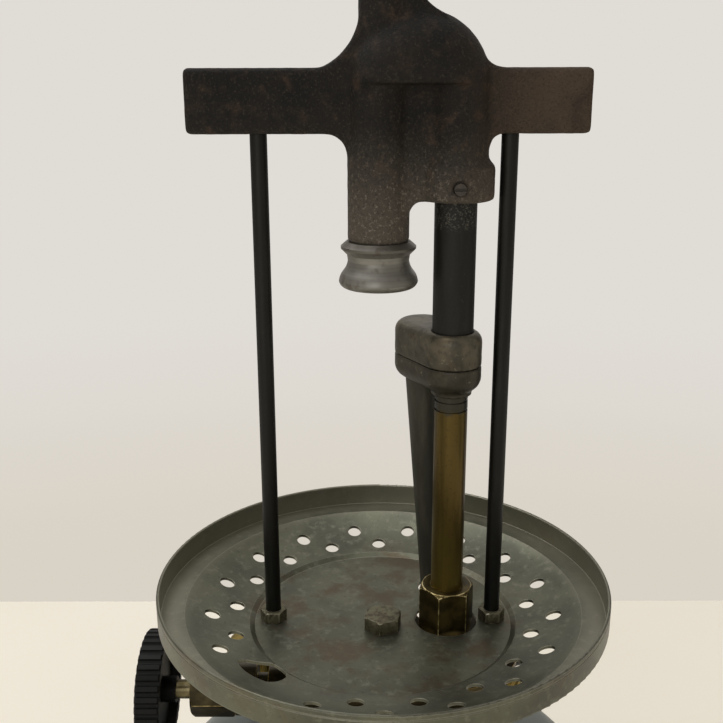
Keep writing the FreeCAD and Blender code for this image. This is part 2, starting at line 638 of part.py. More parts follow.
def make_pump():
    """Barrel with its check valve and cap, and the plunger of rod, cup and handle."""
    barrel = turned("pump_barrel", [
        (BARREL_BORE, BARREL_IN),
        ("barrel_radius", BARREL_IN),
        ("barrel_radius", BARREL_OUT),
        (BARREL_BORE, BARREL_OUT),
    ])
    node(on_pump_axis(barrel), "pump_barrel")

    plug = f"({BARREL_BORE} - fit_gap)"
    seat = f"({BARREL_IN} + check_length / 3)"
    pocket = "(check_ball_radius + fit_gap)"
    check = turned("pump_check_valve", [
        (pocket, BARREL_IN),
        (plug, BARREL_IN),
        (plug, f"{BARREL_IN} + check_length"),
        ("check_port", f"{BARREL_IN} + check_length"),
        ("check_port", f"{seat} + check_ball_radius"),
        (pocket, f"{seat} + check_ball_radius"),
    ])
    node(on_pump_axis(check), "pump_check_valve")

    ball = doc.addObject("Part::Sphere", "pump_check_ball")
    tie(ball, Radius="check_ball_radius")
    slide = f"({seat} - fit_gap)"
    place(ball, f"({SHOULDER_R} + {slide} * cos(pump_slope)) * cos(pump_azimuth)",
          f"({SHOULDER_R} + {slide} * cos(pump_slope)) * sin(pump_azimuth)",
          f"{SHOULDER_Z} + {slide} * sin(pump_slope)")
    node(ball, "pump_check_ball")

    skirt = "(barrel_radius + fit_gap)"
    rod_hole = "(pump_rod_radius + fit_gap)"
    cap = turned("pump_cap", [
        (rod_hole, BARREL_OUT),
        (skirt, BARREL_OUT),
        (skirt, f"{BARREL_OUT} - pump_cap_skirt"),
        (f"{skirt} + pump_cap_wall", f"{BARREL_OUT} - pump_cap_skirt"),
        (f"{skirt} + pump_cap_wall", f"{PUMP_CAP_OUT} - pump_cap_wall / 3"),
        (f"{skirt} + pump_cap_wall * 2 / 3", PUMP_CAP_OUT),
        (rod_hole, PUMP_CAP_OUT),
    ])
    holes(cap, "pump_cap_flute_cut",
          lambda sketch: draw_circle(sketch, "cap_flute", f"{skirt} + pump_cap_wall"), "cap_flutes", "360")
    node(on_pump_axis(cap), "pump_cap")

    grip_foot = f"({PUMP_CAP_OUT} + 4 * face_gap)"
    rod_out = f"({grip_foot} + pump_grip_length * 0.7)"
    rod = turned("pump_rod", [
        ("0", CUP_IN),
        ("pump_rod_radius", CUP_IN),
        ("pump_rod_radius", rod_out),
        ("0", rod_out),
    ])
    node(on_pump_axis(rod), "pump_rod")

    grip_top = f"({grip_foot} + pump_grip_length)"
    grip = turned("pump_handle", [
        (rod_hole, grip_foot),
        ("pump_grip_radius * 0.6", grip_foot, "pump_grip_length * 0.7", "right"),
        ("pump_grip_radius", f"{grip_foot} + pump_grip_length * 0.6", "pump_grip_length * 0.25", "left"),
        ("pump_grip_radius * 0.75", grip_top),
        ("0", grip_top),
        ("0", f"{rod_out} + fit_gap"),
        (rod_hole, f"{rod_out} + fit_gap"),
    ])
    node(on_pump_axis(grip), "pump_handle")

    cup_wall = "(barrel_wall + fit_gap)"
    lip = f"({BARREL_BORE} - fit_gap)"
    cup = turned("pump_cup", [
        (rod_hole, CUP_IN + " + cup_length / 2"),
        (f"{lip} - {cup_wall}", CUP_IN + " + cup_length / 2"),
        (f"{lip} - {cup_wall}", CUP_IN),
        (lip, CUP_IN),
        (lip, CUP_IN + " + cup_length"),
        (rod_hole, CUP_IN + " + cup_length"),
    ])
    node(on_pump_axis(cup), "pump_cup")


def make_valve_body():
    """Arm, riser, guard plate, tray post and spigot in one casting, with their bores."""
    groove_out = "(arm_reach - arm_collar_length)"
    groove_in = f"({groove_out} - arm_groove_length)"
    tail = "-(gas_line_x + arm_tail)"
    arm = place(turned("valve_arm", [
        ("0", tail),
        ("arm_radius", tail),
        ("arm_radius", groove_in),
        ("arm_groove_radius", groove_in),
        ("arm_groove_radius", groove_out),
        ("arm_collar_radius", groove_out),
        ("arm_collar_radius", "arm_reach"),
        ("gland_thread", "arm_reach"),
        ("gland_thread", "arm_reach + gland_length"),
        ("0", "arm_reach + gland_length"),
    ]), z=ARM, turn=KNOBWARD)
    riser_foot = f"({RISER_TOP} - riser_thread_length - {ARM} - face_gap)"
    riser = cylinder("riser", "riser_radius", riser_foot, "gas_line_x", "gas_line_y", ARM)
    riser_neck = cylinder("riser_neck", "riser_thread", f"{RISER_TOP} - {ARM}",
                          "gas_line_x", "gas_line_y", ARM)
    guard_foot = f"({DISC} - guard_drop)"
    guard = cylinder("guard_plate", "guard_radius", "guard_gauge", "gas_line_x", "gas_line_y", guard_foot)
    post = cylinder("tray_post", "post_radius", f"{DISC} - tray_gauge - {ARM}", y="post_y", z=ARM)
    spigot_foot = "(fount_height - spigot_depth)"
    spigot = cylinder("spigot", "spigot_radius", f"{ARM} - {spigot_foot}", z=spigot_foot)

    stem_bore = cylinder("stem_bore", "stem_radius + fit_gap", "arm_reach + gland_length + seat_x",
                         x="seat_x", z=ARM, turn=KNOBWARD)
    port = cylinder("seat_port", "seat_radius", "gas_line_x - seat_x", x="gas_line_x", z=ARM, turn=KNOBWARD)
    riser_bore = cylinder("riser_bore_cut", "riser_bore", f"{RISER_TOP} - {ARM}",
                          "gas_line_x", "gas_line_y", ARM)
    feed = cylinder("spigot_bore", "pickup_radius - pickup_wall", f"{ARM} - {spigot_foot}", z=spigot_foot)
    pickup_seat = cylinder("pickup_seat", "pickup_radius + fit_gap", "pickup_insert", z=spigot_foot)
    bolt_hole = cylinder("bolt_thread", "bolt_radius + fit_gap", "bolt_length",
                         y="post_y", z=f"{DISC} - bolt_length")
    notch = cylinder("guard_notch_cut", "guard_notch", "3 * guard_gauge", "air_hole_x", "air_hole_y",
                     f"{guard_foot} - guard_gauge")
    solid = fuse("valve_solid", arm, riser, riser_neck, guard, post, spigot)
    tools = (stem_bore, port, riser_bore, feed, pickup_seat, bolt_hole, notch)
    node(cut("valve_body", solid, *tools), "valve_body")

    pickup_foot = "(fount_gauge + pickup_gap)"
    pickup_top = f"({spigot_foot} + pickup_insert)"
    node(turned("pickup_tube", [
        ("pickup_radius - pickup_wall", pickup_foot),
        ("pickup_radius", pickup_foot),
        ("pickup_radius", pickup_top),
        ("pickup_radius - pickup_wall", pickup_top),
    ]), "pickup_tube")


def make_control():
    """Needle, stem, packing and its nut, knob and knob screw, all on the arm's axis."""
    def on_arm(item, label):
        return node(place(item, z=ARM, turn=KNOBWARD), label)

    shut = "(seat_radius - fit_gap)"
    taper = "tan(needle_cone)"
    on_arm(turned("valve_needle", [
        ("0", f"-seat_x - ({shut} - needle_tip) / {taper}"),
        ("needle_tip", f"-seat_x - ({shut} - needle_tip) / {taper}"),
        ("stem_radius", f"-seat_x + (stem_radius - {shut}) / {taper}"),
        ("stem_radius", f"{SWIVEL} - needle_travel"),
        ("needle_tail", f"{SWIVEL} - needle_travel"),
        ("needle_tail", f"{SWIVEL} + needle_thread"),
        ("0", f"{SWIVEL} + needle_thread"),
    ]), "valve_needle")

    stem_end = f"({KNOB_FACE} - face_gap)"
    screw_hole = "(knob_screw_radius + fit_gap)"
    screw_depth = "(knob_screw_length + face_gap)"
    tail_hole = "(needle_tail + fit_gap)"
    tail_end = f"({SWIVEL} + needle_thread + needle_travel)"
    on_arm(turned("valve_stem", [
        ("0", tail_end),
        (tail_hole, tail_end),
        (tail_hole, SWIVEL),
        ("stem_radius", SWIVEL),
        ("stem_radius", stem_end),
        (screw_hole, stem_end),
        (screw_hole, f"{KNOB_FACE} - {screw_depth}"),
        ("0", f"{KNOB_FACE} - {screw_depth}"),
    ]), "valve_stem")

    stem_hole = "(stem_radius + fit_gap)"
    thread = "(gland_thread + fit_gap)"
    inner_wall = f"({PACKING_OUT} - packing_end)"
    on_arm(turned("stem_packing", [
        (stem_hole, "arm_reach + gland_length"),
        ("gland_thread", "arm_reach + gland_length"),
        ("gland_thread", inner_wall),
        (stem_hole, inner_wall),
    ]), "stem_packing")

    hexa = hexagon("packing_hexagon", "packing_flats", "packing_length", "nut_chamfer")
    place(hexa, z="arm_reach", turn=spin("packing_turn"))
    stem_way = cylinder("packing_stem_hole", stem_hole, PACKING_OUT)
    thread_way = cylinder("packing_thread", thread, inner_wall)
    on_arm(cut("packing_nut", hexa, stem_way, thread_way), "packing_nut")

    rim_in = "(knob_radius - knob_rim)"
    bore = "(stem_radius + fit_gap)"
    knob = turned("control_knob", [
        (bore, HUB),
        ("hub_radius", HUB),
        ("hub_radius", f"{KNOB_FACE} - knob_web"),
        (f"{rim_in} - knob_bevel", f"{KNOB_FACE} - knob_web"),
        (rim_in, f"{KNOB_IN} + knob_bevel"),
        (f"{rim_in} + knob_bevel", KNOB_IN),
        ("knob_radius - knob_bevel", KNOB_IN),
        ("knob_radius", f"{KNOB_IN} + knob_bevel"),
        ("knob_radius", f"{KNOB_OUT} - knob_bevel"),
        ("knob_radius - knob_bevel", KNOB_OUT),
        (rim_in, KNOB_OUT),
        (f"{rim_in} - knob_dish", KNOB_FACE),
        (bore, KNOB_FACE),
    ])
    holes(knob, "knob_flute_cut", lambda sketch: draw_circle(sketch, "knob_flute", "knob_radius"),
          "knob_flutes", "360")
    on_arm(knob, "control_knob")

    screw = turned("knob_screw_blank", [
        ("0", f"{KNOB_FACE} - knob_screw_length"),
        ("knob_screw_radius", f"{KNOB_FACE} - knob_screw_length"),
        ("knob_screw_radius", KNOB_FACE),
        ("knob_screw_head", KNOB_FACE),
        ("knob_screw_head", f"{KNOB_FACE} + knob_screw_rise / 2"),
        ("knob_screw_head - knob_screw_rise / 2", f"{KNOB_FACE} + knob_screw_rise"),
        ("0", f"{KNOB_FACE} + knob_screw_rise"),
    ])
    slot = block("knob_screw_slot", "2 * knob_screw_head", "screw_slot", "screw_slot",
                 "-knob_screw_head", "-screw_slot / 2", f"{KNOB_FACE} + knob_screw_rise - screw_slot")
    on_arm(cut("knob_screw", screw, slot), "knob_screw")


def make_tray():
    """Pressed tray with its vents, lighting hole and clearance holes, and its bolt."""
    step = "(disc_radius + step_width)"
    wall_in = "(tray_radius - tray_gauge)"
    rim = "(ledge_rise + rim_rise - tray_gauge / 2)"
    line_top = "(ledge_rise + rim_rise - rim_bead)"
    line_in = "(tray_radius - rim_line)"
    tray = turned("tray", [
        ("0", "-tray_gauge"),
        ("disc_radius", "-tray_gauge"),
        (step, "step_rise - tray_gauge", "dish_arc", "left"),
        ("ledge_radius", "ledge_rise - tray_gauge"),
        ("tray_radius - tray_gauge", "ledge_rise - tray_gauge", "tray_gauge", "left"),
        ("tray_radius", "ledge_rise"),
        ("tray_radius", f"{line_top} - 2 * rim_line"),
        (line_in, f"{line_top} - rim_line"),
        ("tray_radius", line_top),
        ("tray_radius", rim, "tray_gauge * 0.52", "left"),
        (wall_in, rim),
        (wall_in, "ledge_rise"),
        ("ledge_radius", "ledge_rise", "dish_arc", "right"),
        (step, "step_rise"),
        ("disc_radius", "0"),
        ("0", "0"),
    ])
    for ring in ("outer", "inner"):
        bearing = f"{ring}_vent_start"
        reach = f"{ring}_vent_ring"
        holes(tray, f"{ring}_vent_cut",
              lambda sketch: draw_circle(sketch, "vent_radius", f"{reach} * cos({bearing})",
                                         f"{reach} * sin({bearing})"),
              f"{ring}_vents", f"({ring}_vents - 1) * vent_pitch")

    left, right = "light_hole_x - light_hole_length / 2", "light_hole_x + light_hole_length / 2"
    back, front = "light_hole_y + light_hole_width / 2", "light_hole_y - light_hole_width / 2"
    holes(tray, "light_hole_cut", lambda sketch: draw(sketch, [
        (left, "light_hole_y + light_hole_width * 0.36", "light_hole_length", "left"),
        ("light_hole_x + light_hole_length * 0.14", front, "light_hole_width * 0.55", "left"),
        (right, "light_hole_y - light_hole_width * 0.1", "light_hole_width * 0.8", "left"),
        ("light_hole_x + light_hole_length * 0.24", back),
        ("light_hole_x - light_hole_length * 0.32", back),
    ]))
    round_holes = (
        ("nut_hole_cut", "nut_hole_radius", "gas_line_x", "gas_line_y"),
        ("air_hole_cut", "air_hole_radius", "air_hole_x", "air_hole_y"),
        ("bolt_hole_cut", "bolt_radius + fit_gap", "0", "post_y"),
        ("left_rod_hole_cut", "rod_radius + fit_gap", "-rod_x", "0"),
        ("right_rod_hole_cut", "rod_radius + fit_gap", "rod_x", "0"),
    )
    for name, radius, x, y in round_holes:
        holes(tray, name, lambda sketch: draw_circle(sketch, radius, x, y))
    node(place(tray, z=DISC), "tray")

    head = place(hexagon("bolt_hexagon", "bolt_flats", "bolt_head", "small_chamfer", both_ends=False),
                 turn=spin("bolt_turn"))
    shank = cylinder("bolt_shank", "bolt_radius", "bolt_length", z="-bolt_length + face_gap")
    node(place(fuse("tray_bolt", head, shank), y="post_y", z=DISC), "tray_bolt")


def make_rods():
    """The two rods that carry the head, and the nuts above and below the tray."""
    foot = f"({DISC} - tray_gauge - rod_nut_height - rod_tail)"
    for side, sign in (("left", "-"), ("right", "")):
        rod = cylinder(f"{side}_rod", "rod_radius", f"{BAR} + rod_insert - {foot}", f"{sign}rod_x", z=foot)
        node(rod, f"{side}_rod")
    heights = (("upper", DISC), ("lower", f"{DISC} - tray_gauge - rod_nut_height"))
    for level, z in heights:
        pair = []
        for side, sign in (("left", "-"), ("right", "")):
            name = f"{side}_{level}_nut"
            hexa = hexagon(f"{name}_hexagon", "rod_nut_flats", "rod_nut_height", "small_chamfer")
            thread = cylinder(f"{name}_thread", "rod_radius + fit_gap", "rod_nut_height")
            pair.append(place(cut(name, hexa, thread), f"{sign}rod_x", z=z))
        node(group(f"rod_nuts_{level}", *pair), f"rod_nuts_{level}")


def make_generator():
    """Generator nut, tube, heat packing and gas jet on the gas line."""
    def on_line(item, label, z="0"):
        return node(place(item, "gas_line_x", "gas_line_y", z), label)

    hexa = place(hexagon("nut_hexagon", "nut_flats", "nut_rise + nut_hex_drop", "nut_chamfer"),
                 z=f"{DISC} - nut_hex_drop", turn=spin("nut_turn"))
    skirt = cylinder("nut_skirt", "nut_skirt_radius", "nut_skirt_drop", z=f"{DISC} - nut_skirt_drop")
    flange_top = f"({RISER_TOP} + generator_flange)"
    tube_way = cylinder("nut_tube_hole", "generator_radius + fit_gap", f"{DISC} + 2 * nut_rise")
    thread_way = cylinder("nut_thread", "riser_thread + fit_gap", flange_top)
    on_line(cut("generator_nut", fuse("nut_solid", hexa, skirt), tube_way, thread_way), "generator_nut")

    bore = "(generator_radius - generator_wall)"
    top = f"({MIXER_FOOT} + generator_insert)"
    ring_foot = f"({MIXER_FOOT} - mixer_collar)"
    ring_corners = []
    for count in (2, 1):
        middle = f"({ring_foot} - {count} * generator_groove_pitch + generator_groove_pitch / 2)"
        ring_corners += [
            ("generator_radius", f"{middle} - generator_groove_width / 2"),
            ("generator_radius - generator_groove", f"{middle} - generator_groove_width / 2"),
            ("generator_radius - generator_groove", f"{middle} + generator_groove_width / 2"),
            ("generator_radius", f"{middle} + generator_groove_width / 2"),
        ]
    on_line(turned("generator_tube", [
        (bore, RISER_TOP),
        ("riser_thread", RISER_TOP),
        ("riser_thread", flange_top),
        ("generator_radius", flange_top),
        *ring_corners,
        ("generator_radius", top),
        (bore, top),
    ]), "generator_tube")

    wick = cylinder("generator_wick", "wick_radius",
                    f"{MIXER_FOOT} - wick_headroom - {RISER_TOP}")
    on_line(wick, "generator_wick", RISER_TOP)

    thread = f"({bore} - fit_gap)"
    on_line(turned("gas_jet", [
        ("jet_bore", f"{top} - jet_thread"),
        (thread, f"{top} - jet_thread"),
        (thread, top),
        (f"{thread} + generator_wall / 2", top),
        ("jet_radius", f"{top} + jet_head / 2"),
        ("jet_radius / 2", f"{top} + jet_head"),
        ("jet_orifice", f"{top} + jet_head"),
        ("jet_orifice", f"{top} + jet_head / 2"),
        ("jet_bore", top),
    ]), "gas_jet")


def make_mixer():
    """Two cast halves of the mixer, the slanted air tube and the mixing tube."""
    lobe = spin("lobe_angle")

    def lobed(name, radius, height, z):
        body = doc.addObject("PartDesign::Body", name)
        sketch = new_sketch(body, f"{name}_outline", "XY_Plane")
        draw_slot(sketch, "lobe_reach", radius)
        grown = body.newObject("PartDesign::Pad", f"{name}_pad")
        grown.Profile = sketch
        tie(grown, Length=height)
        return place(body, "gas_line_x", "gas_line_y", z, lobe)

    cap = lobed("mixer_cap_solid", "mixer_radius", "mixer_cap_height", SEAM)
    middle = number("mixer_cap_height") / 2
    round_off(cap, "mixer_cap_round", "mixer_round", lambda box: box.ZMin > middle)
    socket = cylinder("mixing_socket", "mixing_radius + fit_gap", "mixing_insert",
                      "gas_line_x", "gas_line_y", f"{MIXER_TOP} - mixing_insert")
    roof = lobed("mixer_roof_cut", "mixer_chamber", "mixer_roof", SEAM)
    node(cut("mixer_cap", cap, roof, socket), "mixer_cap")

    base = lobed("mixer_base_solid", "mixer_radius", "mixer_base_height", MIXER_FOOT)
    half_way = number("mixer_base_height") / 2
    round_off(base, "mixer_base_round", "mixer_base_round", lambda box: box.ZMax < half_way)
    collar = cylinder("mixer_collar_ring", "generator_radius + mixer_collar_wall",
                      "mixer_base_height / 2 + mixer_collar",
                      "gas_line_x", "gas_line_y", f"{MIXER_FOOT} - mixer_collar")
    jet_way = cylinder("mixer_jet_hole", "generator_radius + fit_gap", "mixer_base_height + mixer_collar",
                       "gas_line_x", "gas_line_y", f"{MIXER_FOOT} - mixer_collar")
    air_way = slanted("mixer_air_hole", "air_radius + fit_gap", f"{MIXER_FOOT} + air_insert")
    floor = lobed("mixer_floor_cut", "mixer_chamber", "mixer_floor", f"{SEAM} - mixer_floor")
    node(cut("mixer_base", fuse("mixer_base_whole", base, collar), floor, jet_way, air_way), "mixer_base")

    outside = slanted("air_tube_outside", "air_radius", f"{MIXER_FOOT} + air_insert")
    inside = slanted("air_tube_inside", "air_radius - air_wall", f"{MIXER_FOOT} + air_insert")
    node(cut("air_tube", outside, inside), "air_tube")

    tube_foot = f"({MIXER_TOP} - mixing_insert)"
    tube_top = f"({INLET} + inlet_socket)"
    tube = turned("mixing_tube", [
        ("mixing_radius - mixing_wall", tube_foot),
        ("mixing_radius", tube_foot),
        ("mixing_radius", tube_top),
        ("mixing_radius - mixing_wall", tube_top),
    ])
    node(place(tube, "gas_line_x", "gas_line_y"), "mixing_tube")


def slanted(name, radius, top):
    """A round bar that leans from the air hole in the tray to the mixer's lobe."""
    span = f"({MIXER_FOOT} - {DISC})"
    low = f"({DISC} - air_drop)"
    rings = []
    for end, z in (("low", low), ("high", f"({top})")):
        ring = doc.addObject("Part::Circle", f"{name}_{end}")
        tie(ring, Radius=radius)
        share = f"(({z} - {DISC}) / {span})"
        rings.append(place(ring, f"air_hole_x + ({LOBE_X} - air_hole_x) * {share}",
                           f"air_hole_y + ({LOBE_Y} - air_hole_y) * {share}", z))
    bar = doc.addObject("Part::Loft", name)
    bar.Sections = rings
    bar.Solid = True
    bar.Ruled = True
    return bar


def make_head():
    """Cast head: crossbar, dome, boss and two columns, bored for the gas."""
    y = "gas_line_y"
    bar = doc.addObject("PartDesign::Body", "crossbar")
    sketch = new_sketch(bar, "crossbar_outline", "XY_Plane")
    draw(sketch, [("-bar_left", "-bar_depth / 2"), ("bar_right", "-bar_depth / 2"),
                  ("bar_right", "bar_depth / 2"), ("-bar_left", "bar_depth / 2")])
    grown = bar.newObject("PartDesign::Pad", "crossbar_pad")
    grown.Profile = sketch
    tie(grown, Length="bar_height")
    round_off(bar, "crossbar_round", "bar_round", lambda box: True)
    place(bar, z=BAR)

    dome = turned("dome", [
        ("0", "-dome_half"),
        ("dome_radius - dome_half", "-dome_half", "dome_half", "left"),
        ("dome_radius", "0", "dome_half", "left"),
        ("dome_radius - dome_half", "dome_half"),
        ("0", "dome_half"),
    ], angle=180)
    place(dome, "(column_x + gas_line_x) / 2", y, CREASE, FRONTWARD)

    column_foot = f"({BAR} - column_drop)"
    column = cylinder("mantle_column", "column_radius", f"{CREASE} - {column_foot}",
                      "column_x", y, column_foot)
    tenon_foot = f"({column_foot} - tenon_length)"
    tenon = cylinder("mantle_tenon", "tenon_radius", f"{CREASE} - {tenon_foot}", "column_x", y, tenon_foot)
    neck = cylinder("inlet_column", "column_radius", f"{CREASE} - {INLET}", "gas_line_x", y, INLET)
    collar = place(turned("inlet_collar", [
        ("0", "0"),
        ("inlet_radius - bar_round", "0", "bar_round", "left"),
        ("inlet_radius", "bar_round"),
        ("inlet_radius", "inlet_height - inlet_bevel"),
        ("inlet_radius - inlet_bevel", "inlet_height"),
        ("0", "inlet_height"),
    ]), "gas_line_x", y, INLET)

    column_right = "(column_x + column_radius)"
    web_foot = f"({INLET} - web_fillet)"
    web = place(plate("head_web", [
        ("column_x", web_foot),
        (column_right, web_foot, "web_fillet", "right"),
        (f"{column_right} + web_fillet", INLET),
        ("gas_line_x", INLET),
        ("gas_line_x", CREASE),
        ("column_x", CREASE),
    ], "web_depth"), y=y)
    column_left = "(column_x - column_radius)"
    left_fillet = place(plate("left_column_fillet", [
        ("column_x", f"{BAR} - left_fillet"),
        ("column_x", f"{BAR} + bar_round"),
        (f"{column_left} - left_fillet", f"{BAR} + bar_round"),
        (f"{column_left} - left_fillet", BAR, "left_fillet", "right"),
        (column_left, f"{BAR} - left_fillet"),
    ], "bar_depth"))
    neck_right = "(gas_line_x + column_radius)"
    right_fillet = place(plate("right_column_fillet", [
        ("gas_line_x", f"{BAR} - right_fillet"),
        (neck_right, f"{BAR} - right_fillet", "right_fillet", "right"),
        (f"{neck_right} + right_fillet", BAR),
        (f"{neck_right} + right_fillet", f"{BAR} + bar_round"),
        ("gas_line_x", f"{BAR} + bar_round"),
    ], "bar_depth"))
    boss = cylinder("hood_boss", "boss_radius", f"{BOSS_TOP} - {CREASE}", y=y, z=CREASE)
    bar_top = f"({BAR} + bar_height)"
    flare = place(plate("boss_flare", [
        ("0", f"{bar_top} - bar_round"),
        ("0", f"{bar_top} + flare_rise"),
        ("flare_bite - boss_radius", f"{bar_top} + flare_rise", "flare_arc", "right"),
        ("-boss_radius - flare_width", bar_top),
        ("-boss_radius - flare_width", f"{bar_top} - bar_round"),
    ], "bar_depth"))
    dome_x = "((column_x + gas_line_x) / 2)"
    rise = f"({bar_top} + dome_fillet - {CREASE})"
    dome_side = f"({dome_x} + sqrt((dome_radius - flare_bite)^2 - {rise}^2))"
    dome_fillet = place(plate("dome_side_fillet", [
        ("gas_line_x", f"{bar_top} - bar_round"),
        (f"{dome_side} + dome_fillet_arc", f"{bar_top} - bar_round"),
        (f"{dome_side} + dome_fillet_arc", bar_top, "dome_fillet_arc", "right"),
        (dome_side, f"{bar_top} + dome_fillet"),
        ("gas_line_x", f"{bar_top} + dome_fillet"),
    ], "bar_depth"))
    flare_end = "(boss_radius + dome_flare)"
    flare_foot = f"({CREASE} + dome_radius / 2)"
    flare_lift = f"sqrt((dome_radius - flare_bite)^2 - ({flare_end} - {dome_x})^2)"
    dome_flare = place(plate("dome_boss_flare", [
        ("0", flare_foot),
        (flare_end, flare_foot),
        (flare_end, f"{CREASE} + {flare_lift}", "dome_flare_arc", "right"),
        ("boss_radius", BOSS_TOP),
        ("0", BOSS_TOP),
    ], "dome_half"), y=y)
    solid = fuse("head_solid", bar, dome, column, tenon, neck, collar, web, left_fillet, right_fillet,
                 boss, flare, dome_fillet, dome_flare)

    bend = doc.addObject("Part::Torus", "passage_bend")
    bend.Angle3 = 180
    tie(bend, Radius1="(gas_line_x - column_x) / 2", Radius2="passage_radius")
    place(bend, "(column_x + gas_line_x) / 2", y, CREASE, FRONTWARD)
    outlet = cylinder("passage_outlet", "passage_radius", f"{CREASE} - {tenon_foot}",
                      "column_x", y, tenon_foot)
    inlet = cylinder("passage_inlet", "passage_radius", f"{CREASE} - {INLET}", "gas_line_x", y, INLET)
    socket = cylinder("inlet_socket_cut", "mixing_radius + fit_gap", "inlet_socket", "gas_line_x", y, INLET)
    stud_hole = cylinder("stud_hole", "stud_root + fit_gap", "stud_insert + stud_length",
                         y=y, z=f"{BOSS_TOP} - stud_insert")
    lock_y = f"({y} - mixing_radius)"
    lock_z = f"({INLET} + lock_rise)"
    lock_hole = cylinder("lock_hole", "lock_radius + fit_gap", "inlet_radius",
                         "gas_line_x", lock_y, lock_z, FRONTWARD)
    rod_holes = [cylinder(f"{side}_rod_socket", "rod_radius + fit_gap", "rod_insert", f"{sign}rod_x", z=BAR)
                 for side, sign in (("left", "-"), ("right", ""))]
    tools = (bend, outlet, inlet, socket, stud_hole, lock_hole, *rod_holes)
    node(cut("burner_head", solid, *tools), "burner_head")

    stud_foot = f"({BOSS_TOP} - stud_insert)"
    root = cylinder("stud_root_bar", "stud_root", "stud_insert + stud_length", y=y, z=stud_foot)
    shank = cylinder("stud_shank", "stud_radius", "stud_length - stud_relief",
                     y=y, z=f"{BOSS_TOP} + stud_relief")
    node(fuse("hood_stud", root, shank), "hood_stud")
    lock_end = f"({lock_y} - fit_gap)"
    lock = cylinder("lock_screw_bar", "lock_radius", "inlet_radius - mixing_radius + lock_proud",
                    "gas_line_x", lock_end, lock_z, FRONTWARD)
    lock_slot = block("lock_screw_slot", "2 * lock_radius", "screw_slot", "2 * lock_radius / 4",
                      "gas_line_x - lock_radius", f"{lock_end} - inlet_radius + mixing_radius - lock_proud",
                      f"{lock_z} - lock_radius / 4")
    node(cut("tube_lock_screw", lock, lock_slot), "tube_lock_screw")


def make_nozzle():
    """Mantle nozzle on the head's tenon, with the screen in its mouth."""
    socket = "(tenon_radius + fit_gap)"
    socket_foot = "(nozzle_height - tenon_length)"
    seat = "(screen_radius + fit_gap)"
    nozzle = turned("mantle_nozzle", [
        (seat, "0"),
        ("bulb_foot", "0", "bulb_arc", "left"),
        ("bulb_radius", "bulb_rise", "bulb_shoulder", "left"),
        ("(bulb_radius + neck_radius) / 2", "(bulb_rise + neck_rise) / 2", "bulb_shoulder", "right"),
        ("neck_radius", "neck_rise"),
        ("neck_radius + rim_line", "(neck_rise + ridge_rise) / 2"),
        ("ridge_radius", "ridge_rise"),
        ("ridge_radius", "ridge_rise + ridge_width"),
        ("nozzle_lip", "nozzle_height"),
        (socket, "nozzle_height"),
        (socket, socket_foot),
        ("passage_radius", socket_foot),
        ("passage_radius", "screen_depth"),
        (seat, "screen_depth"),
    ])
    node(place(nozzle, "column_x", "gas_line_y", NOZZLE), "mantle_nozzle")

    screen = turned("nozzle_screen", [
        ("0", "screen_depth - screen_gauge"),
        ("screen_radius", "screen_depth - screen_gauge"),
        ("screen_radius", "screen_depth"),
        ("0", "screen_depth"),
    ])
    holes(screen, "screen_middle_cut", lambda sketch: draw_circle(sketch, "screen_hole"))
    for ring, count in (("1", "6"), ("2", "12")):
        holes(screen, f"screen_ring_cut_{ring}",
              lambda sketch: draw_circle(sketch, "screen_hole", f"{ring} * screen_pitch"), count, "360")
    node(place(screen, "column_x", "gas_line_y", NOZZLE), "nozzle_screen")


def check_and_write():
    """Stop if any object failed or any sub-part is unsound, then write one file per sub-part."""
    doc.recompute()
    for item in doc.Objects:
        if {"Invalid", "Error"} & set(item.State):
            raise RuntimeError(f"{item.Name} failed: {item.State}")
    for item in nodes:
        if item.Shape.isNull() or not item.Shape.isValid() or not item.Shape.Solids:
            raise RuntimeError(f"{item.Label} is not a sound solid")
    os.makedirs("parts", exist_ok=True)
    for item in nodes:
        item.Shape.exportStep(f"parts/{item.Label}.step")
        print(f"{item.Label}: {len(item.Shape.Solids)} solid(s), {item.Shape.Volume:.1f} mm3")


fill_sheet()
make_fount()
make_filler()
make_pump()
make_valve_body()
make_control()
make_tray()
make_rods()
make_generator()
make_mixer()
make_head()
make_nozzle()
check_and_write()
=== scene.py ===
import json
import math

import bmesh
import bpy
from mathutils import Matrix, Vector


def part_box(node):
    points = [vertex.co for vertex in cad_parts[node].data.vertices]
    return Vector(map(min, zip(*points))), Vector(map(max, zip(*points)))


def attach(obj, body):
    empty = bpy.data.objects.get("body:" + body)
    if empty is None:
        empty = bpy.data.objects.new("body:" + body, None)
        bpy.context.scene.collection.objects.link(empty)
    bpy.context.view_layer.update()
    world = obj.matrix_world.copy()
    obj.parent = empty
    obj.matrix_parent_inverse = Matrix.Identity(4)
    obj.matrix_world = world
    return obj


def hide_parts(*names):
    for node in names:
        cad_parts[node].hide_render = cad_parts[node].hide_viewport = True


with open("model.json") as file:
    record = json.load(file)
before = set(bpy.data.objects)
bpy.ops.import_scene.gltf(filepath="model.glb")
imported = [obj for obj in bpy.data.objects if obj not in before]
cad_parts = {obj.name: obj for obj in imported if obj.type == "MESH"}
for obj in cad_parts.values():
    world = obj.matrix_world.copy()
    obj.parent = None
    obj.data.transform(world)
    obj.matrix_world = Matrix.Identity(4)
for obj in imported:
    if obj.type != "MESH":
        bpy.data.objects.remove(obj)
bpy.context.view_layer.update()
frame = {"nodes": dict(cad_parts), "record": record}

bl_info = {
    "name": "Pressure lantern burner",
    "version": (1, 0, 0),
    "blender": (4, 5, 0),
    "location": "View3D > Sidebar > Lantern",
    "description": "Dresses the packed burner of a pressure lantern and sets up its studio",
    "category": "Object",
}

MM = 0.001

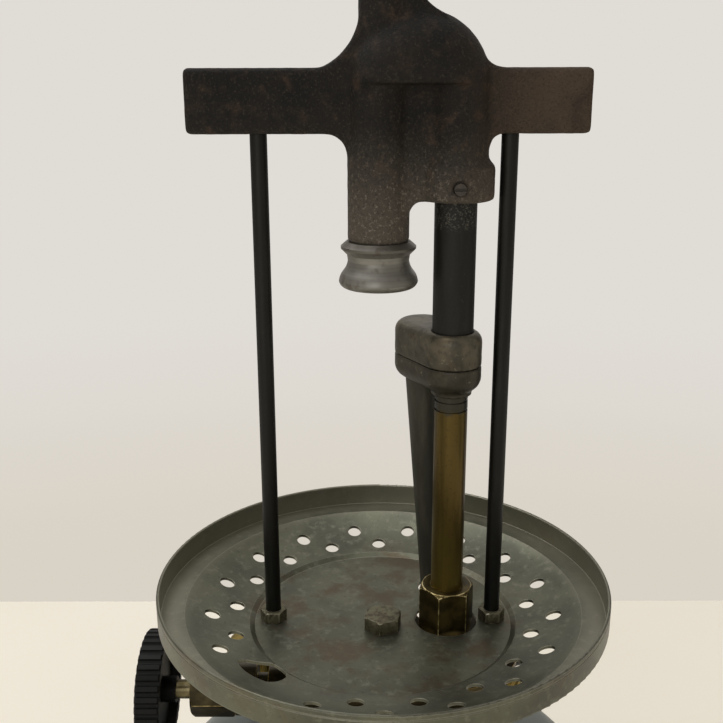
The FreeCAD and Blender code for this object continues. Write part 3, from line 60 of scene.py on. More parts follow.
# Height of the tray's sunken disc, from which the photograph's view was measured.
TRAY_GAUGE = 1.0 * MM
DISC_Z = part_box("tray")[0].z + TRAY_GAUGE
TRAY_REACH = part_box("tray")[1].y
HEAD_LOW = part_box("burner_head")[0]
NOZZLE_LOW, NOZZLE_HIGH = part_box("mantle_nozzle")
MIXER_LOW, MIXER_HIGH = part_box("mixer_base")[0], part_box("mixer_cap")[1]
TUBE_LOW, TUBE_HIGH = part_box("generator_tube")
MIXING_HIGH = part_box("mixing_tube")[1]

# Camera of the photograph: millimetres from the disc on the lantern's axis, degrees,
# and the focal length and the frame's side in pixels.
VIEW_POINT = (-6.03, -280.0, 171.4)
VIEW_PITCH, VIEW_ROLL, VIEW_YAW = 16.39, -0.16, -0.14
VIEW_FOCAL_PIXELS, VIEW_SIDE_PIXELS = 950.0, 723.0
SENSOR = 36.0

# Lights of the studio: place and size in metres.
OVERHEAD_PLACE, OVERHEAD_SIZE = (-0.4, 0.15, 1.25), 1.1
WALL_PLACE, WALL_SIZE = (0.1, 1.3, 0.75), 1.5
FILL_PLACE, FILL_SIZE = (-0.3, -1.0, 0.55), 0.7
FLOOR_GLOW = 0.22
SKY_STRENGTH = 0.45
WALL_FOOT, WALL_HEAD = -0.46, -0.22

SHARP_ANGLE = math.radians(34)
FLAT_ANGLE = math.radians(1)
MERGE_SIZE = 0.002 * MM
EASE_STEPS = 2

# Cast skins: grid and rounds of smoothing for each casting, and the sand's grain, in millimetres.
HEAD_GRID_MM, HEAD_ROUNDS = 0.7, 7
MIXER_GRID_MM, MIXER_ROUNDS = 0.45, 5
SAND_SIZE_MM, SAND_DEPTH_MM = 2.5, 0.12
SAND_LEVEL = 0.6

# Likeness of the rounded and the plain normal where wear starts and where it is full.
WEAR_START, WEAR_FULL = 0.998, 0.93
WEAR_SAMPLES = 6

# Where finishes and painted light start and where they are full, in millimetres from a piece's end or the
# disc.
FLAME_ABOVE_FOOT = 44, 8
BROWN_ALONG_BAR = 16, 50
SCALE_ABOVE_MOUTH = 9
FLECKS_BELOW_TOP = 21, 18
SOOT_BELOW_TOP, SOOT_ABOVE_FOOT = 2, 5
HOT_BELOW_TOP = 15, 7
# Painted bounce light on the generator tube's lower end.
PAINTED_BOUNCE_ABOVE_FOOT = 45, 10
RUST_ABOVE_DISC = 3
WALL_ABOVE_DISC = 8.5, 10
# Painted light on the tray's inner wall: depths in millimetres in from the tray's outer reach, for the outer
# skin it leaves out and for the band it lights.
RIM_SKIN = 0.3, 0.8
RIM_INSIDE = 12, 3


def linear(colour):
    """Linear colour of an sRGB hex value such as "7a6b4c"."""
    parts = [int(colour[at:at + 2], 16) / 255 for at in (0, 2, 4)]
    return (*[part / 12.92 if part <= 0.04045 else ((part + 0.055) / 1.055) ** 2.4 for part in parts], 1.0)


def feed(tree, node, inputs):
    """Set a node's inputs; each is a value, or a socket to link from."""
    for name, source in inputs.items():
        if isinstance(source, bpy.types.NodeSocket):
            tree.links.new(source, node.inputs[name])
        else:
            node.inputs[name].default_value = source


def add(tree, kind, inputs=None, **settings):
    """Add a node with its settings and inputs."""
    made = tree.nodes.new(kind)
    for name, setting in settings.items():
        setattr(made, name, setting)
    feed(tree, made, inputs or {})
    return made


def new_material(name):
    """An empty node material with its Principled shader, and the Object coordinates of its patterns."""
    material = bpy.data.materials.new(name)
    material.use_nodes = True
    tree = material.node_tree
    shader = next(node for node in tree.nodes if node.type == "BSDF_PRINCIPLED")
    place = add(tree, "ShaderNodeTexCoord").outputs["Object"]
    return material, tree, shader, place


def noise(tree, place, size_mm, detail=4.0, roughness=0.55, stretch=(1, 1, 1)):
    """Value of a noise whose blotches are about size_mm across, stretched along an axis."""
    moved = add(tree, "ShaderNodeMapping", {"Vector": place, "Scale": stretch})
    return add(tree, "ShaderNodeTexNoise", {
        "Vector": moved.outputs["Vector"], "Scale": 1 / (size_mm * MM), "Detail": detail,
        "Roughness": roughness}).outputs["Fac"]


def ramp(tree, value, low, high):
    """A value spread softly over 0 to 1 between two levels."""
    spread = add(tree, "ShaderNodeMapRange", {"Value": value, "From Min": low, "From Max": high},
                 interpolation_type="SMOOTHSTEP")
    return spread.outputs["Result"]


def times(tree, first, second):
    """Product of two values."""
    return add(tree, "ShaderNodeMath", {0: first, 1: second}, operation="MULTIPLY").outputs["Value"]


def blend(tree, share, first, second):
    """Colour between two colours, each a hex value or a socket."""
    colours = [linear(colour) if isinstance(colour, str) else colour for colour in (first, second)]
    mixed = add(tree, "ShaderNodeMix", {0: share, 6: colours[0], 7: colours[1]}, data_type="RGBA")
    return mixed.outputs[2]


def height_of(tree, place, low, high):
    """Share of the way from one height to another, in the object's own metres."""
    split = add(tree, "ShaderNodeSeparateXYZ", {"Vector": place})
    return ramp(tree, split.outputs["Z"], low, high)


def rubbed(tree, width_mm):
    """Share of wear near hard edges, and the normal that rounds them off."""
    rounded = add(tree, "ShaderNodeBevel", {"Radius": width_mm * MM}, samples=WEAR_SAMPLES).outputs["Normal"]
    plain = add(tree, "ShaderNodeNewGeometry").outputs["Normal"]
    likeness = add(tree, "ShaderNodeVectorMath", {0: rounded, 1: plain}, operation="DOT_PRODUCT")
    return ramp(tree, likeness.outputs["Value"], WEAR_START, WEAR_FULL), rounded


def uneven_gloss(tree, value, low, high):
    """Roughness between two levels, as a pattern's value goes from 0 to 1."""
    spread = add(tree, "ShaderNodeMapRange", {"Value": value, "To Min": low, "To Max": high})
    return spread.outputs["Result"]


def finish_shader(tree, shader, colour, roughness, metallic,
                  bump=None, bump_mm=0.1, strength=0.6, rounded=None):
    """Set the shader's colour, gloss and grain; each may be a fixed value or a socket."""
    inputs = {"Base Color": linear(colour) if isinstance(colour, str) else colour,
              "Roughness": roughness, "Metallic": metallic}
    if bump is not None:
        grain = add(tree, "ShaderNodeBump", {
            "Height": bump, "Distance": bump_mm * MM, "Strength": strength})
        if rounded is not None:
            tree.links.new(rounded, grain.inputs["Normal"])
        inputs["Normal"] = grain.outputs["Normal"]
    feed(tree, shader, inputs)


def sand_cast_iron(look):
    """Grey iron cast in sand: a dull pitted skin, browned by rust and pale with ash near the flame."""
    material, tree, shader, place = new_material("sand_cast_iron")
    broad = noise(tree, place, 16)
    patch = noise(tree, place, 5, detail=6)
    sand = noise(tree, place, 0.7, detail=3, roughness=0.7)
    colour = blend(tree, ramp(tree, broad, 0.35, 0.7), look.iron_colour, "0f0d0b")
    colour = blend(tree, times(tree, ramp(tree, patch, 0.5, 0.75), 0.5), colour, look.rust_colour)
    flame = height_of(tree, place, *[HEAD_LOW.z + rise * MM for rise in FLAME_ABOVE_FOOT])
    colour = blend(tree, times(tree, flame, 0.75), colour, "5d564d")
    ash = times(tree, ramp(tree, noise(tree, place, 1.1, detail=5, roughness=0.8), 0.53, 0.64), flame)
    colour = blend(tree, times(tree, ash, 0.9), colour, look.ash_colour)
    along = add(tree, "ShaderNodeSeparateXYZ", {"Vector": place}).outputs["X"]
    right_end = ramp(tree, along, *[reach * MM for reach in BROWN_ALONG_BAR])
    browned = times(tree, right_end, ramp(tree, broad, 0.2, 0.6))
    colour = blend(tree, times(tree, browned, 0.7), colour, "564739")
    colour = blend(tree, times(tree, ramp(tree, sand, 0.52, 0.75), 0.3), colour, "62574b")
    colour = blend(tree, times(tree, ramp(tree, sand, 0.48, 0.3), 0.5), colour, "0a0908")
    finish_shader(tree, shader, colour, 0.66, 0.0, sand, 0.4, 0.9)
    shader.inputs["Specular IOR Level"].default_value = 0.25
    return material


def heat_greyed_nozzle(look):
    """Turned nozzle, satin grey from the heat, with darker tooling rings and brown scale by its ridge."""
    material, tree, shader, place = new_material("heat_greyed_nozzle")
    rings = noise(tree, place, 6, stretch=(0.05, 0.05, 6))
    stain = noise(tree, place, 3.5, detail=6)
    colour = blend(tree, times(tree, ramp(tree, rings, 0.35, 0.7), 0.35), look.nozzle_colour, "5d5c57")
    colour = blend(tree, times(tree, ramp(tree, stain, 0.52, 0.7), 0.55), colour, "5a5046")
    near_top = height_of(tree, place, NOZZLE_LOW.z + SCALE_ABOVE_MOUTH * MM, NOZZLE_HIGH.z)
    colour = blend(tree, times(tree, near_top, 0.65), colour, "4d463c")
    gloss = ramp(tree, stain, 0.2, 0.8)
    rough = uneven_gloss(tree, gloss, 0.36, 0.6)
    finish_shader(tree, shader, colour, rough, 0.75, rings, 0.06, 0.5)
    return material


def black_scale(name, colour, worn, metallic=0.35, rough=0.55):
    """Drawn steel under a tight black scale, rubbed a little paler in streaks along its length."""
    material, tree, shader, place = new_material(name)
    streak = noise(tree, place, 3, detail=5, stretch=(1, 1, 0.12))
    speck = noise(tree, place, 0.8, detail=3, roughness=0.7)
    mixed = blend(tree, times(tree, ramp(tree, streak, 0.45, 0.75), 0.6), colour, worn)
    mixed = blend(tree, times(tree, ramp(tree, speck, 0.62, 0.75), 0.4), mixed, "4a4138")
    finish_shader(tree, shader, mixed, rough, metallic, speck, 0.08, 0.5)
    return material


def mixing_tube_scale():
    """Black scaled tube, rough and pale-speckled where its upper thread was run hot."""
    material = black_scale("mixing_tube_scale", "11120f", "22221e")
    tree = material.node_tree
    shader = next(node for node in tree.nodes if node.type == "BSDF_PRINCIPLED")
    place = next(node for node in tree.nodes if node.type == "TEX_COORD").outputs["Object"]
    top = height_of(tree, place, *[MIXING_HIGH.z - drop * MM for drop in FLECKS_BELOW_TOP])
    flecks = ramp(tree, noise(tree, place, 0.7, detail=3, roughness=0.8), 0.5, 0.68)
    previous = shader.inputs["Base Color"].links[0].from_socket
    tree.links.new(blend(tree, times(tree, times(tree, flecks, top), 0.75), previous, "6e6a60"),
                   shader.inputs["Base Color"])
    return material


def cast_mixer(look):
    """Cast heat-tinted metal: grey-brown with straw patches, handled smooth."""
    material, tree, shader, place = new_material("cast_mixer")
    broad = noise(tree, place, 9, detail=5)
    fine = noise(tree, place, 1.8, detail=6, roughness=0.7)
    colour = blend(tree, ramp(tree, broad, 0.42, 0.6), look.mixer_colour, "4a463d")
    tint = ramp(tree, noise(tree, place, 7, detail=5, roughness=0.65), 0.5, 0.7)
    colour = blend(tree, times(tree, tint, 0.45), colour, "6b5a3f")
    soot = height_of(tree, place, MIXER_HIGH.z - SOOT_BELOW_TOP * MM, MIXER_LOW.z + SOOT_ABOVE_FOOT * MM)
    colour = blend(tree, times(tree, soot, 0.72), colour, "24221a")
    colour = blend(tree, times(tree, ramp(tree, fine, 0.5, 0.68), 0.5), colour, "24221c")
    colour = blend(tree, times(tree, ramp(tree, fine, 0.4, 0.3), 0.5), colour, "97917e")
    finish_shader(tree, shader, colour, 0.42, 0.55, fine, 0.12, 0.5)
    return material


def aged_brass_tube(look):
    """Drawn brass tube gone olive, streaked along its length, blackened at its hot upper end, and painted
    lighter at its lower end as bounce light.
    """
    material, tree, shader, place = new_material("aged_brass_tube")
    streak = noise(tree, place, 2.4, detail=6, stretch=(1, 1, 0.07))
    spot = noise(tree, place, 1.1, detail=4, roughness=0.7)
    colour = blend(tree, ramp(tree, streak, 0.38, 0.68), look.brass_colour, "433919")
    colour = blend(tree, times(tree, ramp(tree, spot, 0.55, 0.74), 0.6), colour, "2d2718")
    hot = height_of(tree, place, *[TUBE_HIGH.z - drop * MM for drop in HOT_BELOW_TOP])
    ragged = add(tree, "ShaderNodeMath", {0: hot, 1: noise(tree, place, 3)}, operation="ADD")
    colour = blend(tree, ramp(tree, ragged.outputs["Value"], 0.85, 1.2), colour, "3b3a33")
    # Painted bounce light: the tube's lower end is painted lighter brass.
    low = height_of(tree, place, *[TUBE_LOW.z + rise * MM for rise in PAINTED_BOUNCE_ABOVE_FOOT])
    colour = blend(tree, times(tree, low, 0.6), colour, "8d7a3c")
    finish_shader(tree, shader, colour, 0.33, 0.85, spot, 0.05, 0.4)
    return material


def worn_brass(name, colour, dark, edge="b39c60", metallic=0.85, rough=0.42, wear_mm=0.35):
    """Dull machined brass with tarnish in its hollows, rubbed bright along its edges."""
    material, tree, shader, place = new_material(name)
    broad = noise(tree, place, 6, detail=5)
    spot = noise(tree, place, 1.2, detail=4, roughness=0.7)
    mixed = blend(tree, ramp(tree, broad, 0.38, 0.66), colour, dark)
    mixed = blend(tree, times(tree, ramp(tree, spot, 0.58, 0.74), 0.5), mixed, "231d0e")
    wear, rounded = rubbed(tree, wear_mm)
    mixed = blend(tree, wear, mixed, edge)
    finish_shader(tree, shader, mixed, rough, metallic, spot, 0.05, 0.4, rounded)
    return material


def rubbed_edge(name, bright, dull):
    """Edge rubbed bright by spanners and hands, patchy along its length."""
    material, tree, shader, place = new_material(name)
    patch = noise(tree, place, 3, detail=4)
    mixed = blend(tree, ramp(tree, patch, 0.4, 0.6), bright, dull)
    finish_shader(tree, shader, mixed, 0.3, 0.75, patch, 0.03, 0.3)
    return material


def zinc_tray(look):
    """Zinc plate gone dull: cloudy grey with brown rust creeping from the disc, the holes and the wall,
    painted light on its inner wall, and brighter edges that are partly rubbed zinc and partly a painted
    highlight.
    """
    material, tree, shader, place = new_material("zinc_tray")
    cloud = noise(tree, place, 22, detail=6)
    mottle = noise(tree, place, 3, detail=6, roughness=0.65)
    colour = blend(tree, ramp(tree, cloud, 0.35, 0.68), look.tray_colour, "55564b")
    colour = blend(tree, times(tree, ramp(tree, mottle, 0.5, 0.7), 0.45), colour, "8a8a7a")
    brown = ramp(tree, noise(tree, place, 15, detail=8, roughness=0.65), 0.47, 0.64)
    low = height_of(tree, place, DISC_Z + RUST_ABOVE_DISC * MM, DISC_Z)
    colour = blend(tree, times(tree, times(tree, brown, low), 0.7), colour, "574735")
    wall = height_of(tree, place, *[DISC_Z + rise * MM for rise in WALL_ABOVE_DISC])
    colour = blend(tree, times(tree, times(tree, brown, wall), 0.35), colour, "645240")
    speck = ramp(tree, noise(tree, place, 1.2, detail=5, roughness=0.7), 0.57, 0.7)
    colour = blend(tree, times(tree, speck, 0.65), colour, "413e31")
    level = add(tree, "ShaderNodeVectorMath", {0: place, 1: (1, 1, 0)}, operation="MULTIPLY")
    reach = add(tree, "ShaderNodeVectorMath", {0: level.outputs["Vector"]}, operation="LENGTH")
    skin, inside = (ramp(tree, reach.outputs["Value"], *[TRAY_REACH - depth * MM for depth in depths])
                    for depths in (RIM_SKIN, RIM_INSIDE))
    # Painted light: the tray's inner wall is painted lighter zinc, as if lit.
    painted_lit_inner_wall = times(tree, skin, inside)
    colour = blend(tree, times(tree, painted_lit_inner_wall, 0.45), colour, "a9a694")
    # Brighter edges: partly rubbed zinc, and partly a painted highlight along the rim.
    wear, rounded = rubbed(tree, 0.4)
    colour = blend(tree, times(tree, wear, 0.8), colour, "a5a292")
    scratch = noise(tree, place, 1.5, detail=3, stretch=(0.15, 1, 1))
    rough = uneven_gloss(tree, mottle, 0.3, 0.52)
    finish_shader(tree, shader, colour, rough, 0.75, scratch, 0.05, 0.4, rounded)
    return material


def grey_fount_paint(look):
    """Smooth grey enamel on pressed sheet, scuffed and a little greasy."""
    material, tree, shader, place = new_material("grey_fount_paint")
    cloud = noise(tree, place, 30, detail=5)
    scuff = noise(tree, place, 2.5, detail=6, roughness=0.7)
    colour = blend(tree, ramp(tree, cloud, 0.35, 0.7), look.fount_colour, "838a88")
    colour = blend(tree, times(tree, ramp(tree, scuff, 0.62, 0.76), 0.5), colour, "5d5a52")
    rough = uneven_gloss(tree, cloud, 0.32, 0.5)
    finish_shader(tree, shader, colour, rough, 0.15, scuff, 0.03, 0.3)
    return material


def black_phenolic():
    """Moulded black phenolic, dull on top with dust in its flutes."""
    material, tree, shader, place = new_material("black_phenolic")
    dust = noise(tree, place, 2.2, detail=5, roughness=0.65)
    colour = blend(tree, times(tree, ramp(tree, dust, 0.5, 0.72), 0.5), "070807", "161613")
    rough = uneven_gloss(tree, dust, 0.38, 0.6)
    finish_shader(tree, shader, colour, rough, 0.0, dust, 0.04, 0.4)
    shader.inputs["Specular IOR Level"].default_value = 0.2
    return material


def dull_zinc_fastener():
    """Zinc-plated steel hardware, dulled with brown stains."""
    material, tree, shader, place = new_material("dull_zinc_fastener")
    stain = noise(tree, place, 2.5, detail=6, roughness=0.65)
    colour = blend(tree, ramp(tree, stain, 0.42, 0.66), "6b6752", "463f2f")
    wear, rounded = rubbed(tree, 0.3)
    colour = blend(tree, times(tree, wear, 0.8), colour, "9b9784")
    finish_shader(tree, shader, colour, 0.5, 0.6, stain, 0.05, 0.4, rounded)
    return material


def soft_filling(name, colour, dark, size_mm, rough):
    """Rubber, leather or woven packing inside the part: matt, with its own grain."""
    material, tree, shader, place = new_material(name)
    grain = noise(tree, place, size_mm, detail=5, roughness=0.65)
    mixed = blend(tree, ramp(tree, grain, 0.4, 0.65), colour, dark)
    finish_shader(tree, shader, mixed, rough, 0.0, grain, 0.15, 0.6)
    return material


def dress(material, *names):
    """Give CAD nodes a material in place of their plain one."""
    for name in names:
        slots = frame["nodes"][name].data.materials
        slots.clear()
        slots.append(material)


def body_of(node):
    """The body that a node belongs to."""
    bodies = frame["record"]["behaviour"]["bodies"]
    return next(body for body, members in bodies.items() if node in members)


def node_mesh(node):
    """A merged copy of a node's mesh, to be worked on."""
    work = bmesh.new()
    work.from_mesh(frame["nodes"][node].data)
    bmesh.ops.remove_doubles(work, verts=work.verts, dist=MERGE_SIZE)
    bmesh.ops.dissolve_degenerate(work, edges=work.edges, dist=MERGE_SIZE)
    return work


def set_piece(work, name, node, *materials):
    """Make a piece from a bmesh that stands for a node and moves with its body."""
    mesh = bpy.data.meshes.new(name)
    work.to_mesh(mesh)
    work.free()
    piece = bpy.data.objects.new(name, mesh)
    bpy.context.scene.collection.objects.link(piece)
    for material in materials:
        mesh.materials.append(material)
    mesh.shade_smooth()
    mesh.set_sharp_from_angle(angle=SHARP_ANGLE)
    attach(piece, body_of(node))
    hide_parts(node)
    return piece


def eased_edges(node, material, edge, width_mm):
    """A copy of a hard-edged node with its outer edges eased by handling, in a brighter finish."""
    work = node_mesh(node)
    bmesh.ops.dissolve_limit(work, angle_limit=FLAT_ANGLE, verts=work.verts, edges=work.edges)
    sharp = [line for line in work.edges
             if line.is_manifold and line.is_convex and line.calc_face_angle() > SHARP_ANGLE
             and line.calc_length() > 2 * width_mm * MM]
    eased = bmesh.ops.bevel(work, geom=sharp, offset=width_mm * MM, offset_type="OFFSET",
                            segments=EASE_STEPS, profile=0.5, affect="EDGES",
                            clamp_overlap=False, material=-1)
    for face in eased["faces"]:
        face.material_index = 1
    return set_piece(work, f"{node}_eased", node, material, edge)


def cast_skin(node, material, grid_mm, rounds):
    """A copy of a cast node with every corner softened and a skin as uneven as its mould."""
    piece = set_piece(node_mesh(node), f"{node}_cast", node, material)
    remesh = piece.modifiers.new("mould", "REMESH")
    remesh.mode = "VOXEL"
    remesh.voxel_size = grid_mm * MM
    soften = piece.modifiers.new("soften", "SMOOTH")
    soften.factor = 0.5
    soften.iterations = rounds
    sand = bpy.data.textures.new(f"{node}_sand", "CLOUDS")
    sand.noise_scale = SAND_SIZE_MM * MM
    uneven = piece.modifiers.new("uneven", "DISPLACE")
    uneven.texture = sand
    uneven.texture_coords = "LOCAL"
    uneven.strength = SAND_DEPTH_MM * MM
    uneven.mid_level = SAND_LEVEL
    shaped = bpy.data.meshes.new_from_object(piece.evaluated_get(bpy.context.evaluated_depsgraph_get()))
    piece.modifiers.clear()
    piece.data = shaped
    shaped.shade_smooth()
    return piece


class LanternLook(bpy.types.PropertyGroup):
    """Colours and edges that a user would change."""
    iron_colour: bpy.props.StringProperty(
        name="Iron", description="Cast iron, sRGB hex", default="1c1814")
    rust_colour: bpy.props.StringProperty(
        name="Rust", description="Rust on the iron, sRGB hex", default="4c3a2d")
    ash_colour: bpy.props.StringProperty(
        name="Ash", description="Ash near the flame, sRGB hex", default="857c71")
    nozzle_colour: bpy.props.StringProperty(
        name="Nozzle", description="Nozzle, sRGB hex", default="8a8882")
    mixer_colour: bpy.props.StringProperty(
        name="Mixer", description="Mixer, sRGB hex", default="625c4e")
    brass_colour: bpy.props.StringProperty(
        name="Brass", description="Aged brass, sRGB hex", default="5b4c27")
    tray_colour: bpy.props.StringProperty(
        name="Tray", description="Zinc tray, sRGB hex", default="696a5a")
    fount_colour: bpy.props.StringProperty(
        name="Fount", description="Fount enamel, sRGB hex", default="7b8382")
    edge_ease: bpy.props.FloatProperty(
        name="Edge ease", description="Rounding of hexagon edges in millimetres",
        default=0.2, min=0.05, max=0.4)
    edge_wear: bpy.props.FloatProperty(
        name="Edge wear", description="Width of rubbed edges in millimetres",
        default=0.35, min=0.05, max=1.0)


class LanternStage(bpy.types.PropertyGroup):
    """Studio sizes that a user would change."""
    floor_back: bpy.props.FloatProperty(
        name="Floor back", description="Floor's far edge behind the lantern", default=0.246, unit="LENGTH")
    floor_half: bpy.props.FloatProperty(
        name="Floor half", description="Half the floor's width", default=3.0, unit="LENGTH")
    key_power: bpy.props.FloatProperty(
        name="Key", description="Power of the overhead light", default=7.6, subtype="POWER")
    wall_power: bpy.props.FloatProperty(
        name="Wall", description="Power of the light from the wall behind", default=2.1, subtype="POWER")
    fill_power: bpy.props.FloatProperty(
        name="Fill", description="Power of the front fill light", default=2.1, subtype="POWER")


class LANTERN_OT_head(bpy.types.Operator):
    """Cast head, nozzle and their small hardware"""
    bl_idname = "lantern.head"
    bl_label = "Cast head"

    def execute(self, context):
        look = context.scene.lantern_look
        cast_skin("burner_head", sand_cast_iron(look), HEAD_GRID_MM, HEAD_ROUNDS)
        dress(heat_greyed_nozzle(look), "mantle_nozzle")
        dress(dull_zinc_fastener(), "hood_stud", "nozzle_screen")
        dress(black_scale("scaled_screw_steel", "3b3630", "57504a"), "tube_lock_screw")
        return {"FINISHED"}


class LANTERN_OT_gas_line(bpy.types.Operator):
    """Mixing tube, mixer, air tube, generator and its nut"""
    bl_idname = "lantern.gas_line"
    bl_label = "Gas line"

    def execute(self, context):
        look = context.scene.lantern_look
        mixer = cast_mixer(look)
        for node in ("mixer_cap", "mixer_base"):
            cast_skin(node, mixer, MIXER_GRID_MM, MIXER_ROUNDS)
        dress(mixing_tube_scale(), "mixing_tube")
        dress(black_scale("air_tube_scale", "3d3c34", "5a574c", metallic=0.45, rough=0.5), "air_tube")
        dress(aged_brass_tube(look), "generator_tube")
        tarnished = worn_brass("tarnished_brass", "5a4d2a", "3a321b", "d8c48c", wear_mm=look.edge_wear)
        bright = rubbed_edge("rubbed_brass_edge", "d8c793", "77683c")
        eased_edges("generator_nut", tarnished, bright, look.edge_ease)
        dress(worn_brass("jet_brass", "8c7638", "5a4b22"), "gas_jet")
        dress(soft_filling("woven_heat_packing", "a39a88", "7d7564", 0.8, 0.9), "generator_wick")
        return {"FINISHED"}


class LANTERN_OT_tray(bpy.types.Operator):
    """Tray with its bolt, the rods and their nuts"""
    bl_idname = "lantern.tray"
    bl_label = "Tray and rods"

    def execute(self, context):
        look = context.scene.lantern_look
        dress(zinc_tray(look), "tray")
        rod_steel = black_scale("black_rod_steel", "121310", "25241f", metallic=0.5, rough=0.45)
        dress(rod_steel, "left_rod", "right_rod")
        steel = dull_zinc_fastener()
        edge = rubbed_edge("rubbed_zinc_edge", "a8a490", "6b6752")
        for node in ("tray_bolt", "rod_nuts_upper", "rod_nuts_lower"):
            eased_edges(node, steel, edge, look.edge_ease)
        return {"FINISHED"}


class LANTERN_OT_valve(bpy.types.Operator):
    """Valve body, stem, packing nut and knob"""
    bl_idname = "lantern.valve"
    bl_label = "Valve and knob"

    def execute(self, context):
        look = context.scene.lantern_look
        dull = worn_brass("dull_valve_brass", "4a412a", "2e2818", wear_mm=look.edge_wear)
        dress(dull, "valve_body", "pickup_tube", "fount_collar")
        bright = rubbed_edge("rubbed_gland_edge", "a99868", "5f5230")
        eased_edges("packing_nut", dull, bright, look.edge_ease)
        dress(worn_brass("stem_brass", "7d7355", "4f4529", rough=0.28), "valve_stem", "valve_needle")
        dress(black_phenolic(), "control_knob")
        dress(dull_zinc_fastener(), "knob_screw")
        dress(soft_filling("graphite_packing", "3a3834", "23221f", 0.8, 0.85), "stem_packing")
        return {"FINISHED"}


class LANTERN_OT_fount(bpy.types.Operator):
    """Fount with its filler and pump"""
    bl_idname = "lantern.fount"
    bl_label = "Fount"

    def execute(self, context):
        look = context.scene.lantern_look
        dress(grey_fount_paint(look), "fount_shell", "fount_base")
        brass = worn_brass("fount_brass", "94803f", "5f5026")
        dress(brass, "filler_neck", "pump_barrel", "pump_check_valve")
        dress(worn_brass("cap_brass", "9a8545", "665629", rough=0.36), "filler_cap", "pump_cap")
        dress(dull_zinc_fastener(), "pump_rod", "pump_check_ball")
        dress(black_phenolic(), "pump_handle")
        dress(soft_filling("oiled_leather", "5a3a20", "3a2413", 1.4, 0.7), "pump_cup")
        dress(soft_filling("black_rubber", "1d1d1c", "2b2b29", 1.0, 0.8), "filler_gasket")
        return {"FINISHED"}


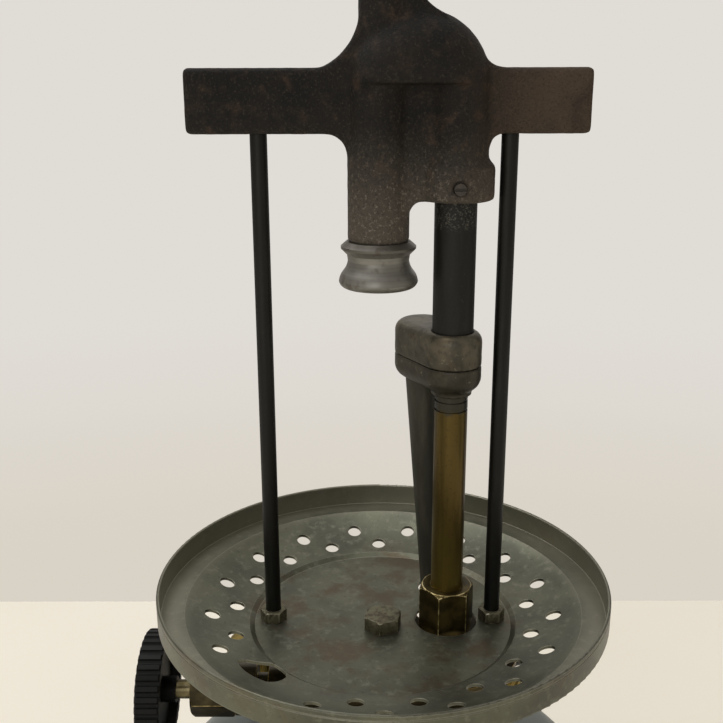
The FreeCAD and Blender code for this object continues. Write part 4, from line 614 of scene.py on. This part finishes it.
class LANTERN_OT_stage(bpy.types.Operator):
    """Pale floor, soft light and the photograph's camera"""
    bl_idname = "lantern.stage"
    bl_label = "Stage"

    def execute(self, context):
        scene = context.scene
        stage = scene.lantern_stage
        scene.view_settings.view_transform = "Standard"
        self.floor(scene, stage)
        self.world(scene)
        self.light(scene, "overhead", stage.key_power, OVERHEAD_PLACE, OVERHEAD_SIZE)
        self.light(scene, "pale_wall", stage.wall_power, WALL_PLACE, WALL_SIZE)
        self.light(scene, "front_fill", stage.fill_power, FILL_PLACE, FILL_SIZE)
        self.camera(scene)
        return {"FINISHED"}

    def floor(self, scene, stage):
        """A pale floor that ends behind the lantern."""
        work = bmesh.new()
        bmesh.ops.create_grid(work, x_segments=1, y_segments=1, size=stage.floor_half)
        bmesh.ops.translate(work, verts=work.verts, vec=(0, stage.floor_back - stage.floor_half, 0))
        mesh = bpy.data.meshes.new("pale_floor")
        work.to_mesh(mesh)
        work.free()
        floor = bpy.data.objects.new("pale_floor", mesh)
        scene.collection.objects.link(floor)
        material, tree, shader, place = new_material("pale_paper")
        cloud = noise(tree, place, 120, detail=2)
        paper = blend(tree, cloud, "e9e2d4", "efe9dc")
        finish_shader(tree, shader, paper, 0.7, 0.0)
        tree.links.new(paper, shader.inputs["Emission Color"])
        shader.inputs["Emission Strength"].default_value = FLOOR_GLOW
        mesh.materials.append(material)

    def world(self, scene):
        """A pale wall for the camera and a dimmer sky for everything else."""
        world = bpy.data.worlds.new("pale_studio")
        world.use_nodes = True
        scene.world = world
        tree = world.node_tree
        surface = next(node for node in tree.nodes if node.type == "OUTPUT_WORLD")
        way = add(tree, "ShaderNodeTexCoord").outputs["Generated"]
        rise = add(tree, "ShaderNodeSeparateXYZ", {"Vector": way}).outputs["Z"]
        wall = blend(tree, ramp(tree, rise, WALL_FOOT, WALL_HEAD), "d9d2c6", "e0dcd6")
        seen = add(tree, "ShaderNodeBackground", {"Color": wall, "Strength": 1.0})
        lit = add(tree, "ShaderNodeBackground", {"Color": linear("e6e0d6"), "Strength": SKY_STRENGTH})
        rays = add(tree, "ShaderNodeLightPath")
        chosen = add(tree, "ShaderNodeMixShader", {
            0: rays.outputs["Is Camera Ray"], 1: lit.outputs["Background"], 2: seen.outputs["Background"]})
        tree.links.new(chosen.outputs["Shader"], surface.inputs["Surface"])

    def light(self, scene, name, power, place, size):
        """A square area light aimed at the tray's disc."""
        lamp = bpy.data.lights.new(name, "AREA")
        lamp.energy = power
        lamp.size = size
        holder = bpy.data.objects.new(name, lamp)
        scene.collection.objects.link(holder)
        holder.location = place
        aim = Vector((0, 0, DISC_Z)) - holder.location
        holder.rotation_euler = aim.to_track_quat("-Z", "Y").to_euler()

    def camera(self, scene):
        """The photograph's camera."""
        pitch, roll, yaw = (math.radians(angle) for angle in (VIEW_PITCH, VIEW_ROLL, VIEW_YAW))
        ahead = Vector((math.sin(yaw) * math.cos(pitch), math.cos(yaw) * math.cos(pitch), -math.sin(pitch)))
        right = Vector((math.cos(yaw), -math.sin(yaw), 0))
        above = right.cross(ahead)
        right, above = (math.cos(roll) * right + math.sin(roll) * above,
                        math.cos(roll) * above - math.sin(roll) * right)
        lens = bpy.data.cameras.new("photo_camera")
        lens.sensor_width = SENSOR
        lens.lens = VIEW_FOCAL_PIXELS / VIEW_SIDE_PIXELS * SENSOR
        lens.clip_start = 0.01
        holder = bpy.data.objects.new("photo_camera", lens)
        scene.collection.objects.link(holder)
        turn = Matrix((right, above, -ahead)).transposed().to_4x4()
        spot = Vector(VIEW_POINT) * MM + Vector((0, 0, DISC_Z))
        holder.matrix_world = Matrix.Translation(spot) @ turn
        scene.camera = holder


class LANTERN_PT_panel(bpy.types.Panel):
    """Lists the lantern's operators"""
    bl_idname = "LANTERN_PT_panel"
    bl_label = "Lantern burner"
    bl_space_type = "VIEW_3D"
    bl_region_type = "UI"
    bl_category = "Lantern"

    def draw(self, context):
        for operator in OPERATORS:
            self.layout.operator(operator.bl_idname)


OPERATORS = (LANTERN_OT_head, LANTERN_OT_gas_line, LANTERN_OT_tray, LANTERN_OT_valve, LANTERN_OT_fount,
             LANTERN_OT_stage)
CLASSES = (LanternLook, LanternStage, *OPERATORS, LANTERN_PT_panel)


def register():
    for kind in CLASSES:
        bpy.utils.register_class(kind)
    bpy.types.Scene.lantern_look = bpy.props.PointerProperty(type=LanternLook)
    bpy.types.Scene.lantern_stage = bpy.props.PointerProperty(type=LanternStage)


def unregister():
    del bpy.types.Scene.lantern_look
    del bpy.types.Scene.lantern_stage
    for kind in reversed(CLASSES):
        bpy.utils.unregister_class(kind)


def main():
    register()
    bpy.ops.lantern.head()
    bpy.ops.lantern.gas_line()
    bpy.ops.lantern.tray()
    bpy.ops.lantern.valve()
    bpy.ops.lantern.fount()
    bpy.ops.lantern.stage()
    bpy.context.view_layer.update()


if __name__ == "__main__":
    main()
